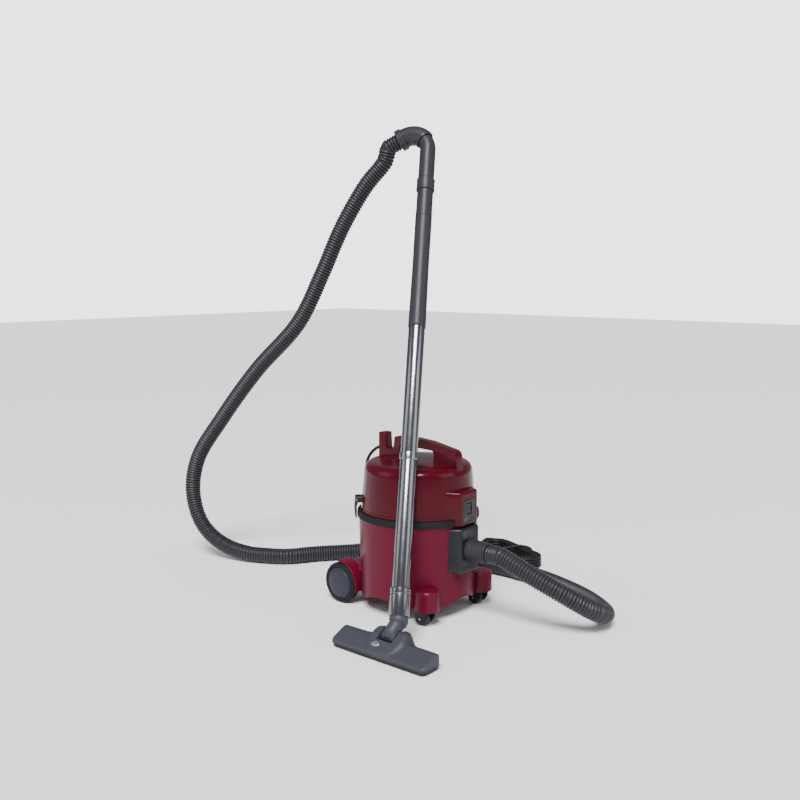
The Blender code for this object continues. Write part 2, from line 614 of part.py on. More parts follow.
def build_motor():
    """The fan motor on its plate: fan housing, field, shaft, armature, impeller and end cap."""
    ring("motor_plate", 0.0300, 0.1235, 0.2232, 0.2268, "black", steps=36)
    ring("motor_gasket", 0.0560, 0.0660, 0.2271, 0.2287, "rubber", steps=32)
    turned("fan_housing", [
        (0.0660, 0.2530), (0.0660, 0.2290), (0.0300, 0.2290), (0.0300, 0.2310), (0.0635, 0.2310),
        (0.0635, 0.2510), (0.0060, 0.2510), (0.0060, 0.2530)], "steel", steps=32)
    turned("fan_impeller", [
        (0.0043, 0.2390), (0.0120, 0.2390), (0.0600, 0.2360), (0.0600, 0.2345), (0.0043, 0.2345)],
        "steel", steps=32)
    ring("motor_field", 0.0300, 0.0430, 0.2535, 0.2900, "copper", steps=28)
    ring("motor_armature", 0.0043, 0.0290, 0.2570, 0.2880, "copper", steps=24)
    rod("motor_shaft", (0, 0, 0.2325), (0, 0, 0.2975), 0.0040, "steel", sides=20)
    ring("motor_end_cap", 0.0043, 0.0430, 0.2903, 0.2960, "black", steps=28)


def build_filter_cage():
    """The open cage under the motor plate that keeps the filter off the fan inlet."""
    cage = turned("filter_cage", [
        (0.0, 0.1780), (0.0460, 0.1780), (0.0480, 0.2200), (0.0560, 0.2200), (0.0560, 0.2229),
        (0.0600, 0.2229), (0.0600, 0.2180), (0.0500, 0.2180), (0.0482, 0.1755), (0.0, 0.1755)],
        "black", steps=32, ring=False)
    for n in range(4):
        turn = math.pi * n / 4
        slot = box(f"cage_slot_{n}", (-0.07, -0.0085, 0.184), (0.07, 0.0085, 0.212))
        slot.rotation_euler = (0.0, 0.0, turn)
        combine(cage, slot)


def build_latch(side, word):
    """One over-centre latch beside the seam, hinged on the head."""
    out = Vector((side * math.cos(LATCH_ANGLE), math.sin(LATCH_ANGLE), 0.0))
    turn = Matrix.Rotation(math.atan2(out.y, out.x), 4, "Z")
    base = new_empty(f"latch_base_{word}", (0, 0, 0), ROOT, turn.to_quaternion())
    pin, level = LATCH_HINGE_R, LATCH_HINGE_Z
    lever = box(f"latch_{word}", (pin - 0.0028, -0.0085, level - 0.0420),
                (pin + 0.0040, 0.0085, level + 0.0045), "black", round_edges=0.0016, parent=base)
    combine(lever, box(f"latch_back_{word}", (pin - 0.0060, -0.02, level - 0.0500),
                       (pin - 0.0008, 0.02, level - 0.0120), parent=base))
    combine(lever, rod(f"latch_hole_{word}", (pin, -0.02, level), (pin, 0.02, level), 0.0019, sides=12,
                       parent=base))
    bracket = box(f"latch_bracket_{word}", (0.1180, -0.0130, level - 0.0060),
                  (pin + 0.0032, 0.0130, level + 0.0080), "black", round_edges=0.0012, parent=base)
    core = turned(f"bracket_back_{word}", head_profile(GAP) + [(0.0, HEAD_BOTTOM)], ring=False,
                  steps=STEPS, parent=base)
    combine(bracket, core)
    combine(bracket, box(f"bracket_slot_{word}", (pin - 0.0078, -0.0091, 0.22), (0.16, 0.0091, 0.27),
                         parent=base))
    combine(bracket, rod(f"bracket_eye_{word}", (pin, -0.02, level), (pin, 0.02, level), 0.0017,
                         sides=12, parent=base))
    rod(f"latch_pin_{word}", (pin, -0.0128, level), (pin, 0.0128, level), 0.0015, "steel", sides=12,
        parent=base)


def gland_seat():
    """The point of the head's rounded shoulder where the gland sits, and the normal there."""
    before, seat, after = head_profile(0.0)[3:6]
    outwards = Vector((before[1] - after[1], after[0] - before[0])).normalized()
    across = Vector((math.cos(GLAND_TURN), math.sin(GLAND_TURN), 0.0))
    upright = Vector((0, 0, 1))
    return across * seat[0] + upright * seat[1], across * outwards.x + upright * outwards.y


def build_gland():
    """The gland at the back of the head that the lead comes out of."""
    seat, facing = gland_seat()
    bore = CORD_R + 0.0005
    turned("cord_gland", [
        (bore, GLAND_REACH), (0.0054, GLAND_REACH), (0.0060, 0.0026), (0.0085, 0.0022),
        (0.0085, GAP), (0.0059, GAP), (0.0059, -0.0070), (bore, -0.0070)], "rubber", steps=20,
        location=seat, axis=facing)


# ---------------------------------------------------------------- wand
def along(distance):
    """A point on the wand's axis."""
    return WAND_FOOT + WAND_AXIS * distance


def bend_side():
    """Unit vector across the wand's axis, towards which the handle bends."""
    return (BEND_HEADING - WAND_AXIS * BEND_HEADING.dot(WAND_AXIS)).normalized()


def bend_point(angle):
    """A point on the bend of the handle."""
    return (along(BEND_START) + WAND_AXIS * (BEND_R * math.sin(angle))
            + bend_side() * (BEND_R * (1.0 - math.cos(angle))))


def bend_direction(angle):
    """The direction of the tube at a point on the bend."""
    return WAND_AXIS * math.cos(angle) + bend_side() * math.sin(angle)


def sleeve(name, inner, outer, low, high, finish, edge=0.0008, steps=24):
    """A turned sleeve on the wand's axis with eased outer edges."""
    turned(name, [(outer - edge, high), (outer, high - edge), (outer, low + edge), (outer - edge, low),
                  (inner, low), (inner, high)], finish, steps, location=WAND_FOOT, axis=WAND_AXIS)


def build_wand():
    """Neck sleeve, two chrome tubes with their collar, grip tube, bent handle and its fittings."""
    inner = TUBE_R - TUBE_WALL
    sleeve("neck_sleeve", TUBE_R + GAP, TUBE_R + 0.0030, 0.0, SLEEVE_TOP, "tool_grey")
    sleeve("lower_tube", inner, TUBE_R, 0.0040, LOWER_TUBE_TOP - GAP, "chrome", edge=0.0004)
    sleeve("upper_tube", inner, TUBE_R, LOWER_TUBE_TOP, UPPER_TUBE_TOP + 0.030, "chrome", edge=0.0004)
    sleeve("tube_collar", TUBE_R + GAP, TUBE_R + 0.0016, LOWER_TUBE_TOP - 0.0080,
           LOWER_TUBE_TOP + 0.0080, "chrome")
    grip = TUBE_R + 0.0004
    turned("grip_tube", [
        (0.0185, GRIP_TOP), (0.0180, GRIP_TOP - 0.10), (grip + 0.0012, UPPER_TUBE_TOP + 0.010),
        (grip + 0.0018, UPPER_TUBE_TOP + 0.004), (grip + 0.0012, UPPER_TUBE_TOP),
        (grip, UPPER_TUBE_TOP), (grip, UPPER_TUBE_TOP + 0.0305), (0.0150, UPPER_TUBE_TOP + 0.0305),
        (0.0150, GRIP_TOP)], "hose_grey", steps=24, location=WAND_FOOT, axis=WAND_AXIS)
    bend_end = math.radians(50.0)
    points = [along(GRIP_TOP + GAP), along(0.92), along(0.97), along(1.02)]
    points += [bend_point(bend_end * n / 5) for n in range(6)]
    pipe("handle_bend", points, 0.0180, 0.0150, "hose_grey")
    sleeve("air_regulator", 0.0180 + GAP, 0.0204, REGULATOR_LOW, REGULATOR_HIGH, "hose_grey")
    start = math.radians(36.0)
    points = [bend_point(start + (BEND_ANGLE - start) * n / 8) for n in range(9)]
    points.append(points[-1] + bend_direction(BEND_ANGLE) * 0.0120)
    pipe("hose_elbow", points, 0.0225, 0.0194, "hose_grey")
    turned("hose_nut", [
        (0.0248, 0.0), (0.0258, -0.0020), (0.0258, -0.0120), (0.0248, -0.0140), (0.0229, -0.0140),
        (0.0229, 0.0)], "hose_grey", steps=28, location=points[-1], axis=bend_direction(BEND_ANGLE))


def hose_ends():
    """Where the hose starts at the handle and where it ends at the inlet."""
    facing = bend_direction(BEND_ANGLE)
    start = bend_point(BEND_ANGLE) + facing * (0.0120 + GAP)
    return start, facing, Vector((0.0, -CUFF_END - GAP, PORT_Z))


def build_hose():
    """The suction hose as a plain round solid along its route."""
    start, facing, end = hose_ends()
    route = [start, start + facing * 0.030, *HOSE_ROUTE, end + Vector((0, -0.030, 0)), end]
    cord("hose", smooth_route(route, 0.060, HOSE_R + GAP), HOSE_R, "hose_grey", 2)


# ---------------------------------------------------------------- floor tool
def tool_outline(inset):
    """Plan of the tool: long straight front, tapered ends, a swollen middle at the back."""
    half = TOOL_HALF_LENGTH - inset
    front = TOOL_FRONT_X + inset
    rear = TOOL_REAR_X - inset
    points = []
    for sign in (-1, 1):
        corner = [(front + 0.030, sign * half), (front, sign * half), (front, 0.0)]
        end = fillet(*corner, 0.010, 3)
        tail = (rear - 0.024, sign * (half - 0.002))
        inner = (rear - 0.004, sign * (half - 0.045))
        back = [*fillet((front, sign * half), tail, inner, 0.010, 3), *fillet(tail, inner, (rear, 0.0), 0.020, 2)]
        shape = [*end[::-1], *back] if sign < 0 else [*back[::-1], *end]
        points += shape
    return points


def slope(name, front_x, front_z, top_x, top_z, back_x, back_z):
    """The room above a roof that falls from a ridge to the front and to the back."""
    ahead = (top_z - front_z) / (top_x - front_x)
    behind = (top_z - back_z) / (back_x - top_x)
    section = [(top_x, top_z), (back_x + 0.05, back_z - 0.05 * behind), (back_x + 0.05, 0.12),
               (front_x - 0.05, 0.12), (front_x - 0.05, front_z - 0.05 * ahead)]
    frame = Matrix.Translation((0, TOOL_Y, 0)) @ Matrix(((1, 0, 0, 0), (0, 0, -1, 0), (0, 1, 0, 0), (0, 0, 0, 1)))
    return outline(name, [section], 0.2, None, frame)


def build_tool():
    """The hard-floor tool: shell with its hump, sole plate, two bristle strips."""
    frame = Matrix.Translation((0, TOOL_Y, (0.0085 + TOOL_TOP) / 2))
    shell = outline("tool_shell", [tool_outline(0.0)], (TOOL_TOP - 0.0085) / 2, "tool_grey", frame,
                    round_edges=0.004)
    combine(shell, slope("ridge", TOOL_FRONT_X, TOOL_LIP, TOOL_RIDGE_X, TOOL_TOP, TOOL_REAR_X, TOOL_BACK))
    hump = rod("tool_hump", (HUMP_X, TOOL_Y, 0.012), (HUMP_X, TOOL_Y, HUMP_TOP), 0.0440, sides=36,
               end_radius=0.0350)
    combine(shell, hump, "UNION")
    combine(shell, slope("brow", TOOL_FRONT_X, TOOL_LIP + 0.0020, HUMP_X + 0.004, HUMP_TOP,
                         HUMP_X + 0.044, HUMP_TOP - 0.010))
    combine(shell, box("tool_chamber", (-0.3000, TOOL_Y - 0.098, 0.0), (-0.2520, TOOL_Y + 0.098, 0.0220)))
    combine(shell, box("neck_slot", (-0.2900, TOOL_Y - 0.0195, 0.015), (-0.2200, TOOL_Y + 0.0195, 0.060)))
    combine(shell, rod("neck_pin_hole", NECK_PIVOT - Vector((0, 0.0300, 0)),
                       NECK_PIVOT + Vector((0, 0.0300, 0)), 0.0030, sides=16))
    sole_frame = Matrix.Translation((0, TOOL_Y, 0.0056))
    sole = outline("sole_plate", [tool_outline(0.0020)], 0.0026, "steel", sole_frame)
    combine(sole, box("suction_mouth", (-0.2930, TOOL_Y - 0.094, -0.01), (-0.2660, TOOL_Y + 0.094, 0.02)))
    for name, x in (("front", -0.3020), ("rear", -0.2560)):
        combine(sole, box(f"{name}_strip_slot", (x - 0.0023, TOOL_Y - 0.0823, -0.01),
                          (x + 0.0023, TOOL_Y + 0.0823, 0.0062)))
        box(f"bristle_strip_{name}", (x - 0.0020, TOOL_Y - 0.0820, 0.0), (x + 0.0020, TOOL_Y + 0.0820, 0.0059),
            "bristle")


def build_neck():
    """The elbow between the wand's sleeve and the tool, and its pivot pin."""
    top = along(-GAP)
    points = [NECK_PIVOT, NECK_PIVOT + Vector((0.0030, 0.0, 0.0100)), top - WAND_AXIS * 0.0100, top]
    fine = [Vector(p) for p in smooth_route(points, 0.006)]
    elbow = settle(as_mesh(round_curve("neck_elbow", fine, 0.0160, 4), "neck_elbow"), "neck_elbow",
                   "tool_grey")
    knuckle = rod("neck_knuckle", NECK_PIVOT - Vector((0, 0.0160, 0)), NECK_PIVOT + Vector((0, 0.0160, 0)),
                  0.0125, sides=24)
    combine(elbow, knuckle, "UNION")
    spigot = rod("neck_spigot", along(-0.004), along(0.0035), 0.0150, sides=24)
    combine(elbow, spigot, "UNION")
    combine(elbow, rod("neck_pin_bore", NECK_PIVOT - Vector((0, 0.05, 0)), NECK_PIVOT + Vector((0, 0.05, 0)),
                       0.0030, sides=16))
    rod("neck_pin", NECK_PIVOT - Vector((0, 0.0280, 0)), NECK_PIVOT + Vector((0, 0.0280, 0)), 0.0027,
        "steel", sides=16)


# ---------------------------------------------------------------- mains lead
def build_lead():
    """The lead: from the gland to the hank, the tied hank, its tail and the plug."""
    seat, facing = gland_seat()
    floor = CORD_R + 0.0005
    route = [seat - facing * 0.0060, seat + facing * (GLAND_REACH + 0.002), *LEAD_ROUTE, LEAD_END]
    cord("power_cord", smooth_route(route, 0.0150, floor), CORD_R, "rubber")
    half, run = HANK_HALF_WIDTH, HANK_HALF_RUN
    loop = []
    for end, first in ((1, -math.pi / 2), (-1, math.pi / 2)):
        for n in range(13):
            turn = first + math.pi * n / 12
            loop.append((end * run + half * math.cos(turn), half * math.sin(turn)))
    place = Matrix.Translation(HANK_CENTRE) @ Matrix.Rotation(HANK_HEADING, 4, "Z")
    middle = Matrix.Translation((0, 0, (HANK_LOW + HANK_HIGH) / 2))
    outline("cord_hank", [loop], (HANK_HIGH - HANK_LOW) / 2, "rubber", place @ middle)
    tie = box("cord_tie", (-TIE_HALF_WIDTH, -half - GAP - TIE_WALL, HANK_LOW - GAP - TIE_WALL),
              (TIE_HALF_WIDTH, half + GAP + TIE_WALL, HANK_HIGH + GAP + TIE_WALL), "black")
    hole = box("tie_hole", (-0.05, -half - GAP, HANK_LOW - GAP), (0.05, half + GAP, HANK_HIGH + GAP))
    for thing in (tie, hole):
        thing.data.transform(Matrix.Translation(thing.location))
        thing.location = HANK_CENTRE
        thing.rotation_euler = (0.0, 0.0, HANK_HEADING)
    combine(tie, hole)
    route = [TAIL_START, *TAIL_ROUTE, PLUG_BACK - PLUG_HEADING * 0.010, PLUG_BACK - PLUG_HEADING * GAP]
    cord("cord_tail", smooth_route(route, 0.0150, floor), CORD_R, "rubber")
    build_plug()


def build_plug():
    """The moulded plug with its strain relief and two round pins."""
    across = PLUG_HEADING.cross(Vector((0, 0, 1)))
    plug = turned("plug", [
        (0.0, 0.0520), (0.0110, 0.0520), (0.0120, 0.0505), (0.0120, 0.0300), (0.0080, 0.0200),
        (0.0052, 0.0160), (0.0046, 0.0), (0.0, 0.0)], "rubber", steps=20, ring=False,
        location=PLUG_BACK, axis=PLUG_HEADING)
    for n, side in enumerate((-1, 1)):
        foot = PLUG_BACK + PLUG_HEADING * 0.0480 + across * (side * 0.0058)
        combine(plug, rod(f"plug_pin_{n}", foot, foot + PLUG_HEADING * 0.0220, 0.0022, sides=12), "UNION")


# ---------------------------------------------------------------- assembly
CORD_PIECES = ("hose", "power_cord", "cord_hank", "cord_tie", "cord_tail", "plug")


def centre_on_origin():
    """Move the root so that the appliance's footprint, without hose and lead, is centred."""
    bpy.context.view_layer.update()
    graph = bpy.context.evaluated_depsgraph_get()
    low, high = Vector((9, 9, 9)), Vector((-9, -9, -9))
    for thing in PARTS.objects:
        if thing.type == "EMPTY" or thing.name in CORD_PIECES:
            continue
        solid = thing.evaluated_get(graph)
        for corner in solid.bound_box:
            place = solid.matrix_world @ Vector(corner)
            low = Vector(map(min, low, place))
            high = Vector(map(max, high, place))
    ROOT.location = (-(low.x + high.x) / 2, -(low.y + high.y) / 2, 0.0)
    bpy.context.view_layer.update()


build_tank()
build_rim()
build_filter()
build_inlet()
rod("rear_axle", (-0.1085, AXLE_Y, WHEEL_R), (0.1085, AXLE_Y, WHEEL_R), AXLE_R, "steel", sides=24)
both_sides(build_wheel)
both_sides(build_caster)
build_head_cover()
build_exhaust()
build_handle()
build_switch()
build_motor()
build_filter_cage()
both_sides(build_latch)
build_gland()
build_wand()
build_hose()
build_tool()
build_neck()
build_lead()
centre_on_origin()
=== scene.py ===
"""The looks of a tub vacuum cleaner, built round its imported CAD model.

Shapes are worked out in the machine's own frame, with the tub's axis at X = 0, Y = 0 and the floor
at Z = 0, and are moved to the model's frame when a piece is finished.
"""
import json
import math

import bmesh
import bpy
import numpy as np
from mathutils import Matrix, Vector


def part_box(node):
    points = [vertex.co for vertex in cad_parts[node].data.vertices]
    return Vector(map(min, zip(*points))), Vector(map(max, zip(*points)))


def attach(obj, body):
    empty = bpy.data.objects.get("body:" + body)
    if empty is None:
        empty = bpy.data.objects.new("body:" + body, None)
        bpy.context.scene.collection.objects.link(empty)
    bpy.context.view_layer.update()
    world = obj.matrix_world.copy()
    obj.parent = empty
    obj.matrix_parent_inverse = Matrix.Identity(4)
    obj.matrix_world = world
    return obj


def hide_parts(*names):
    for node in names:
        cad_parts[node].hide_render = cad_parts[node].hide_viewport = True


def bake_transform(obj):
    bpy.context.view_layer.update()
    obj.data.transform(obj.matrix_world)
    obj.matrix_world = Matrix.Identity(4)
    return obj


bl_info = {
    "name": "Tub vacuum cleaner",
    "version": (1, 0, 0),
    "blender": (4, 5, 0),
    "location": "3D View > Sidebar > Tub vacuum",
    "description": "Builds the visible pieces and finishes of a tub vacuum cleaner",
    "category": "Object",
}

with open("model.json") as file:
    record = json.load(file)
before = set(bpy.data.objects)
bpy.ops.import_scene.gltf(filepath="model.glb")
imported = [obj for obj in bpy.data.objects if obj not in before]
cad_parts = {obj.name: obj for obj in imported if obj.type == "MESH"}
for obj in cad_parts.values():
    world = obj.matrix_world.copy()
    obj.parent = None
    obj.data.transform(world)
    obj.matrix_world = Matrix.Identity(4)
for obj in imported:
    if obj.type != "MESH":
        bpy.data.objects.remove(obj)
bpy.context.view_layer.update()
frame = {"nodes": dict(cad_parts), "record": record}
SEAL_LOW, SEAL_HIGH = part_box("rim_seal")
SHIFT = Vector(((SEAL_LOW.x + SEAL_HIGH.x) / 2, (SEAL_LOW.y + SEAL_HIGH.y) / 2, 0.0))
UP = Vector((0, 0, 1))
SIDES = ((-1, "right"), (1, "left"))
# Stands a flat outline up in the Y-Z plane, with its thickness along X.
SIDE_ON = Matrix(((0, 0, 1, 0), (1, 0, 0, 0), (0, 1, 0, 0), (0, 0, 0, 1)))

# Places and lines that several pieces share, in the machine's frame, in metres.
AXLE_Y, WHEEL_R = 0.141, 0.046
CASTER_X, CASTER_Y, CASTER_R, CASTER_TRAIL = 0.0932, -0.1040, 0.0145, 0.0100
PORT_Z, PORT_FRONT, CUFF_END = 0.154, 0.1465, 0.196
HEAD_BOTTOM = 0.2226
ROCKER_Z = 0.244
LATCH_TURN = math.radians(45.0)
LATCH_HINGE_R, LATCH_HINGE_Z = 0.1380, 0.2450
WAND_FOOT = Vector((-0.2395, -0.1533, 0.0719))
WAND_AXIS = Vector((0.3468, 0.2210, 0.9115)).normalized()
BEND_START, BEND_R, BEND_ANGLE = 1.0397, 0.042, math.radians(117.0)
BEND_HEADING = Vector((-0.331, 0.944, 0.0))
NECK_PIVOT = Vector((-0.2640, -0.1550, 0.0360))
TOOL_Y, TOOL_FRONT_X, TOOL_REAR_X, TOOL_HALF = -0.155, -0.312, -0.236, 0.122
TOOL_LIP, TOOL_BACK, TOOL_RIDGE = 0.0150, 0.0190, (-0.2720, 0.0365)
HUMP_X, HUMP_TOP = -0.2660, 0.0520
GLAND_SEAT_R, GLAND_TURN = 0.1087, math.radians(77.0)
HANK_CENTRE, HANK_TURN = Vector((0.4250, 0.0450, 0.0)), math.radians(70.7)
PLUG_BACK = Vector((0.4998, 0.0739, 0.0125))
PLUG_HEADING = Vector((-0.3305, -0.9438, 0.0)).normalized()

# The hose from the handle to the inlet: down from the handle, round behind the machine on the
# floor, past its left side, and back in a loop to the inlet.
HOSE_ROUTE = [
    (0.095, 0.184, 1.000), (0.079, 0.230, 0.946), (0.057, 0.288, 0.850), (0.038, 0.338, 0.740),
    (0.015, 0.400, 0.620), (-0.027, 0.509, 0.500), (-0.064, 0.605, 0.372), (-0.090, 0.677, 0.260),
    (-0.096, 0.692, 0.170), (-0.088, 0.668, 0.090), (-0.066, 0.615, 0.041), (-0.035, 0.535, 0.0207),
    (0.012, 0.455, 0.0205), (0.085, 0.410, 0.0205), (0.155, 0.355, 0.0210), (0.215, 0.290, 0.0270),
    (0.255, 0.215, 0.0285), (0.283, 0.130, 0.0225), (0.297, 0.040, 0.0205), (0.300, -0.050, 0.0205),
    (0.290, -0.140, 0.0205), (0.266, -0.222, 0.0205), (0.232, -0.300, 0.0205), (0.188, -0.362, 0.0220),
    (0.138, -0.398, 0.0320), (0.088, -0.400, 0.0520), (0.048, -0.368, 0.0820), (0.020, -0.315, 0.1130),
    (0.005, -0.262, 0.1390),
]
# The lead from its gland to the hank: over the back of the head, down to the floor, under the hose.
LEAD_ROUTE = [
    (0.0230, 0.1320, 0.3440), (0.0090, 0.1480, 0.3310), (0.0010, 0.1570, 0.3080),
    (0.0040, 0.1610, 0.2750), (0.0160, 0.1660, 0.2250), (0.0280, 0.1750, 0.1650),
    (0.0360, 0.1870, 0.1000), (0.0440, 0.2010, 0.0480), (0.0580, 0.2200, 0.0140),
    (0.0770, 0.2400, 0.0045), (0.1050, 0.2540, 0.0038), (0.1450, 0.2560, 0.0038),
    (0.2000, 0.2430, 0.0038), (0.2550, 0.2260, 0.0038), (0.3100, 0.2080, 0.0038),
    (0.3600, 0.1790, 0.0045), (0.4000, 0.1635, 0.0055), (0.4365, 0.1498, 0.0058),
]
TAIL_ROUTE = [
    (0.4562, 0.1498, 0.0268), (0.4700, 0.1535, 0.0255), (0.4860, 0.1520, 0.0225),
    (0.4990, 0.1430, 0.0190), (0.5065, 0.1280, 0.0160), (0.5080, 0.1120, 0.0140),
]


class VacuumSizes(bpy.types.PropertyGroup):
    """Sizes of the visible pieces."""

    hose_diameter: bpy.props.FloatProperty(
        name="Hose diameter", description="Outside diameter of the hose over its ribs",
        default=0.040, min=0.02, max=0.06, unit="LENGTH")
    rib_pitch: bpy.props.FloatProperty(
        name="Rib pitch", description="Distance between neighbouring ribs of the hose",
        default=0.0068, min=0.004, max=0.02, unit="LENGTH")
    rib_depth: bpy.props.FloatProperty(
        name="Rib depth", description="Depth of the grooves between the ribs",
        default=0.0026, min=0.0005, max=0.005, unit="LENGTH")
    lead_diameter: bpy.props.FloatProperty(
        name="Lead diameter", description="Diameter of the mains lead",
        default=0.0072, min=0.004, max=0.012, unit="LENGTH")
    tube_radius: bpy.props.FloatProperty(
        name="Tube radius", description="Outside radius of the chrome tubes",
        default=0.01775, min=0.015, max=0.02, unit="LENGTH")
    bristle_spacing: bpy.props.FloatProperty(
        name="Bristle spacing", description="Distance between the bristle tufts of the floor tool",
        default=0.0016, min=0.0008, max=0.005, unit="LENGTH")
    screw_count: bpy.props.IntProperty(
        name="Plate screws", description="Screws round the motor plate", default=8, min=3, max=24)


class VacuumColours(bpy.types.PropertyGroup):
    """Base colours of the finishes."""

    def colour(name, description, default):
        return bpy.props.FloatVectorProperty(
            name=name, description=description, subtype="COLOR", size=3, min=0, max=1, default=default)

    head: colour("Head", "Gloss moulding of the head", (0.048, 0.0008, 0.0055))
    tub: colour("Tub", "Satin moulding of the tub", (0.085, 0.0026, 0.0150))
    black: colour("Black", "Black mouldings", (0.008, 0.0085, 0.011))
    rubber: colour("Rubber", "Tyres, lead and seals", (0.0060, 0.0060, 0.0070))
    hub: colour("Hub", "Rear wheel discs", (0.0140, 0.0145, 0.0270))
    hose: colour("Hose", "Hose", (0.0165, 0.0155, 0.0205))
    handle: colour("Handle", "Bent handle and grip tube", (0.0200, 0.0195, 0.0250))
    tool: colour("Tool", "Floor tool and neck", (0.0310, 0.0320, 0.0420))
    chrome: colour("Chrome", "Wand tubes", (0.17, 0.175, 0.195))
    steel: colour("Steel", "Pins, axle and plates", (0.45, 0.45, 0.46))
    copper: colour("Copper", "Motor windings", (0.42, 0.15, 0.06))
    cloth: colour("Cloth", "Filter cloth", (0.60, 0.58, 0.53))
    pale: colour("Pale plastic", "Filter ring and tie", (0.42, 0.40, 0.43))


# ---------------------------------------------------------------- materials
class Maths:
    """One socket of a material, so that shader maths reads as an expression."""

    def __init__(self, finish, socket):
        self.finish, self.socket = finish, socket

    def _with(self, operation, first, second):
        return self.finish.node("ShaderNodeMath", {"operation": operation}, first, second)

    def __add__(self, other):
        return self._with("ADD", self, other)

    def __sub__(self, other):
        return self._with("SUBTRACT", self, other)

    def __rsub__(self, other):
        return self._with("SUBTRACT", other, self)

    def __mul__(self, other):
        return self._with("MULTIPLY", self, other)

    def __pow__(self, other):
        return self._with("POWER", self, other)

    def above(self, limit):
        return self._with("GREATER_THAN", self, limit)

    def wave(self):
        """Sine of this value, brought to between 0 and 1."""
        return self._with("SINE", self, 0.0) * 0.5 + 0.5

    __radd__, __rmul__ = __add__, __mul__


class Finish:
    """A Principled material whose colour, roughness and relief come from nodes."""

    def __init__(self, name, colour, roughness, **fixed):
        self.made = bpy.data.materials.new(name)
        self.made.use_nodes = True
        self.tree = self.made.node_tree
        self.shader = self.tree.nodes["Principled BSDF"]
        self.colour = tuple(colour)
        self.shader.inputs["Base Color"].default_value = (*self.colour, 1.0)
        self.shader.inputs["Roughness"].default_value = roughness
        for socket, value in fixed.items():
            self.shader.inputs[socket.replace("_", " ").title().replace("Ior", "IOR")].default_value = value
        self.place = self.node("ShaderNodeTexCoord", {}, output="Object")

    def node(self, kind, settings=None, *values, output=0, **named):
        """Add a node: settings first, then the values or links of its sockets."""
        made = self.tree.nodes.new(kind)
        for key, value in (settings or {}).items():
            setattr(made, key, value)
        for key, value in [*enumerate(values), *named.items()]:
            socket = made.inputs[key if isinstance(key, int) else key.replace("_", " ")]
            if isinstance(value, Maths):
                self.tree.links.new(value.socket, socket)
            elif value is not None:
                socket.default_value = value
        return Maths(self, made.outputs[output])

    def noise(self, scale, detail=2.0, place=None, rough=0.5):
        return self.node("ShaderNodeTexNoise", {}, Vector=place or self.place, Scale=scale,
                         Detail=detail, Roughness=rough)

    def turned_to(self, centre, axis=(0, 0, 1), stretch=(1, 1, 1)):
        """Object coordinates moved to a centre and turned so that Z runs along an axis."""
        turn = Vector(axis).to_track_quat("Z", "Y").to_euler()
        return self.node("ShaderNodeMapping", {"vector_type": "TEXTURE"}, self.place,
                         tuple(Vector(centre) + SHIFT), tuple(turn), stretch)

    def parts(self, place):
        """The X, Y and Z of a place."""
        split = self.node("ShaderNodeSeparateXYZ", {}, place)
        return [Maths(self, split.socket.node.outputs[n]) for n in range(3)]

    def blend(self, amount, low, high):
        """A colour between two, by an amount."""
        mix = self.node("ShaderNodeMix", {"data_type": "RGBA"}, output=2)
        sockets = mix.socket.node.inputs
        self.tree.links.new(amount.socket, sockets[0])
        sockets[6].default_value = (*low, 1.0)
        sockets[7].default_value = (*high, 1.0)
        return mix

    def shade(self, amount, spread, base=None):
        """Colour the surface a little lighter and darker by an amount from 0 to 1."""
        base = base or self.colour
        low = [c * (1 - spread) for c in base]
        high = [min(1.0, c * (1 + spread)) for c in base]
        return self.feed("Base Color", self.blend(amount, low, high))

    def feed(self, socket, value):
        self.tree.links.new(value.socket, self.shader.inputs[socket])
        return self

    def relief(self, height, strength, distance):
        """Bump from a height."""
        bump = self.node("ShaderNodeBump", {}, Strength=strength, Distance=distance, Height=height)
        return self.feed("Normal", bump)


def moulded(name, colour, roughness, grain, depth, spread=0.10, **fixed):
    """Moulded plastic: slow colour drift, a worn sheen, and a fine grain."""
    made = Finish(name, colour, roughness, **{"specular_ior_level": 0.28, **fixed})
    drift, wear = made.noise(9.0, 3.0), made.noise(46.0, 5.0, rough=0.7)
    made.shade(drift * 0.6 + wear * 0.4, spread)
    made.feed("Roughness", wear * 0.16 + drift * 0.06 + (roughness - 0.11))
    made.relief(made.noise(grain, 2.0), 0.25, depth)
    return made.made


def brushed(name, colour, roughness, centre, axis, across=1400.0, spread=0.12, **fixed):
    """Drawn or plated metal: fine lines along an axis and faint smudges."""
    made = Finish(name, colour, roughness, metallic=1.0, **fixed)
    lines = made.noise(across, 2.0, made.turned_to(centre, axis, (1.0, 1.0, 60.0)))
    smudge = made.noise(28.0, 4.0, rough=0.65)
    made.shade(smudge * 0.7 + lines * 0.3, spread)
    made.feed("Roughness", smudge * 0.14 + lines * 0.08 + (roughness - 0.08))
    made.relief(lines, 0.08, 0.0001)
    return made.made


def rubbery(name, colour, roughness):
    """Rubber or soft plastic with dust in its pores."""
    made = Finish(name, colour, roughness, specular_ior_level=0.20)
    dust, pores = made.noise(60.0, 6.0, rough=0.75), made.noise(900.0, 2.0)
    made.shade(dust, 0.35)
    made.feed("Roughness", dust * 0.2 + (roughness - 0.1))
    made.relief(pores, 0.3, 0.0002)
    return made.made


def ribbed_hose(name, colour):
    """Flexible plastic, duller down in its grooves, with painted shade in the grooves and a painted highlight
    on the rib crests.
    """
    made = Finish(name, colour, 0.42, specular_ior_level=0.28)
    groove = made.node("ShaderNodeAttribute", {"attribute_name": "groove"}, output="Fac")
    scuff = made.noise(70.0, 5.0, rough=0.7)
    # Colour mask: random scuffs (real wear) plus painted shade in the grooves and a painted highlight on the
    # rib crests.
    scuff_and_groove_shade = (1 - groove) * 0.75 + scuff * 0.25
    dark, light = [c * 0.40 for c in colour], [c * 1.45 for c in colour]
    made.feed("Base Color", made.blend(scuff_and_groove_shade, dark, light))
    made.feed("Roughness", groove * 0.25 + scuff * 0.12 + 0.26)
    made.relief(made.noise(700.0, 2.0), 0.15, 0.0002)
    return made.made


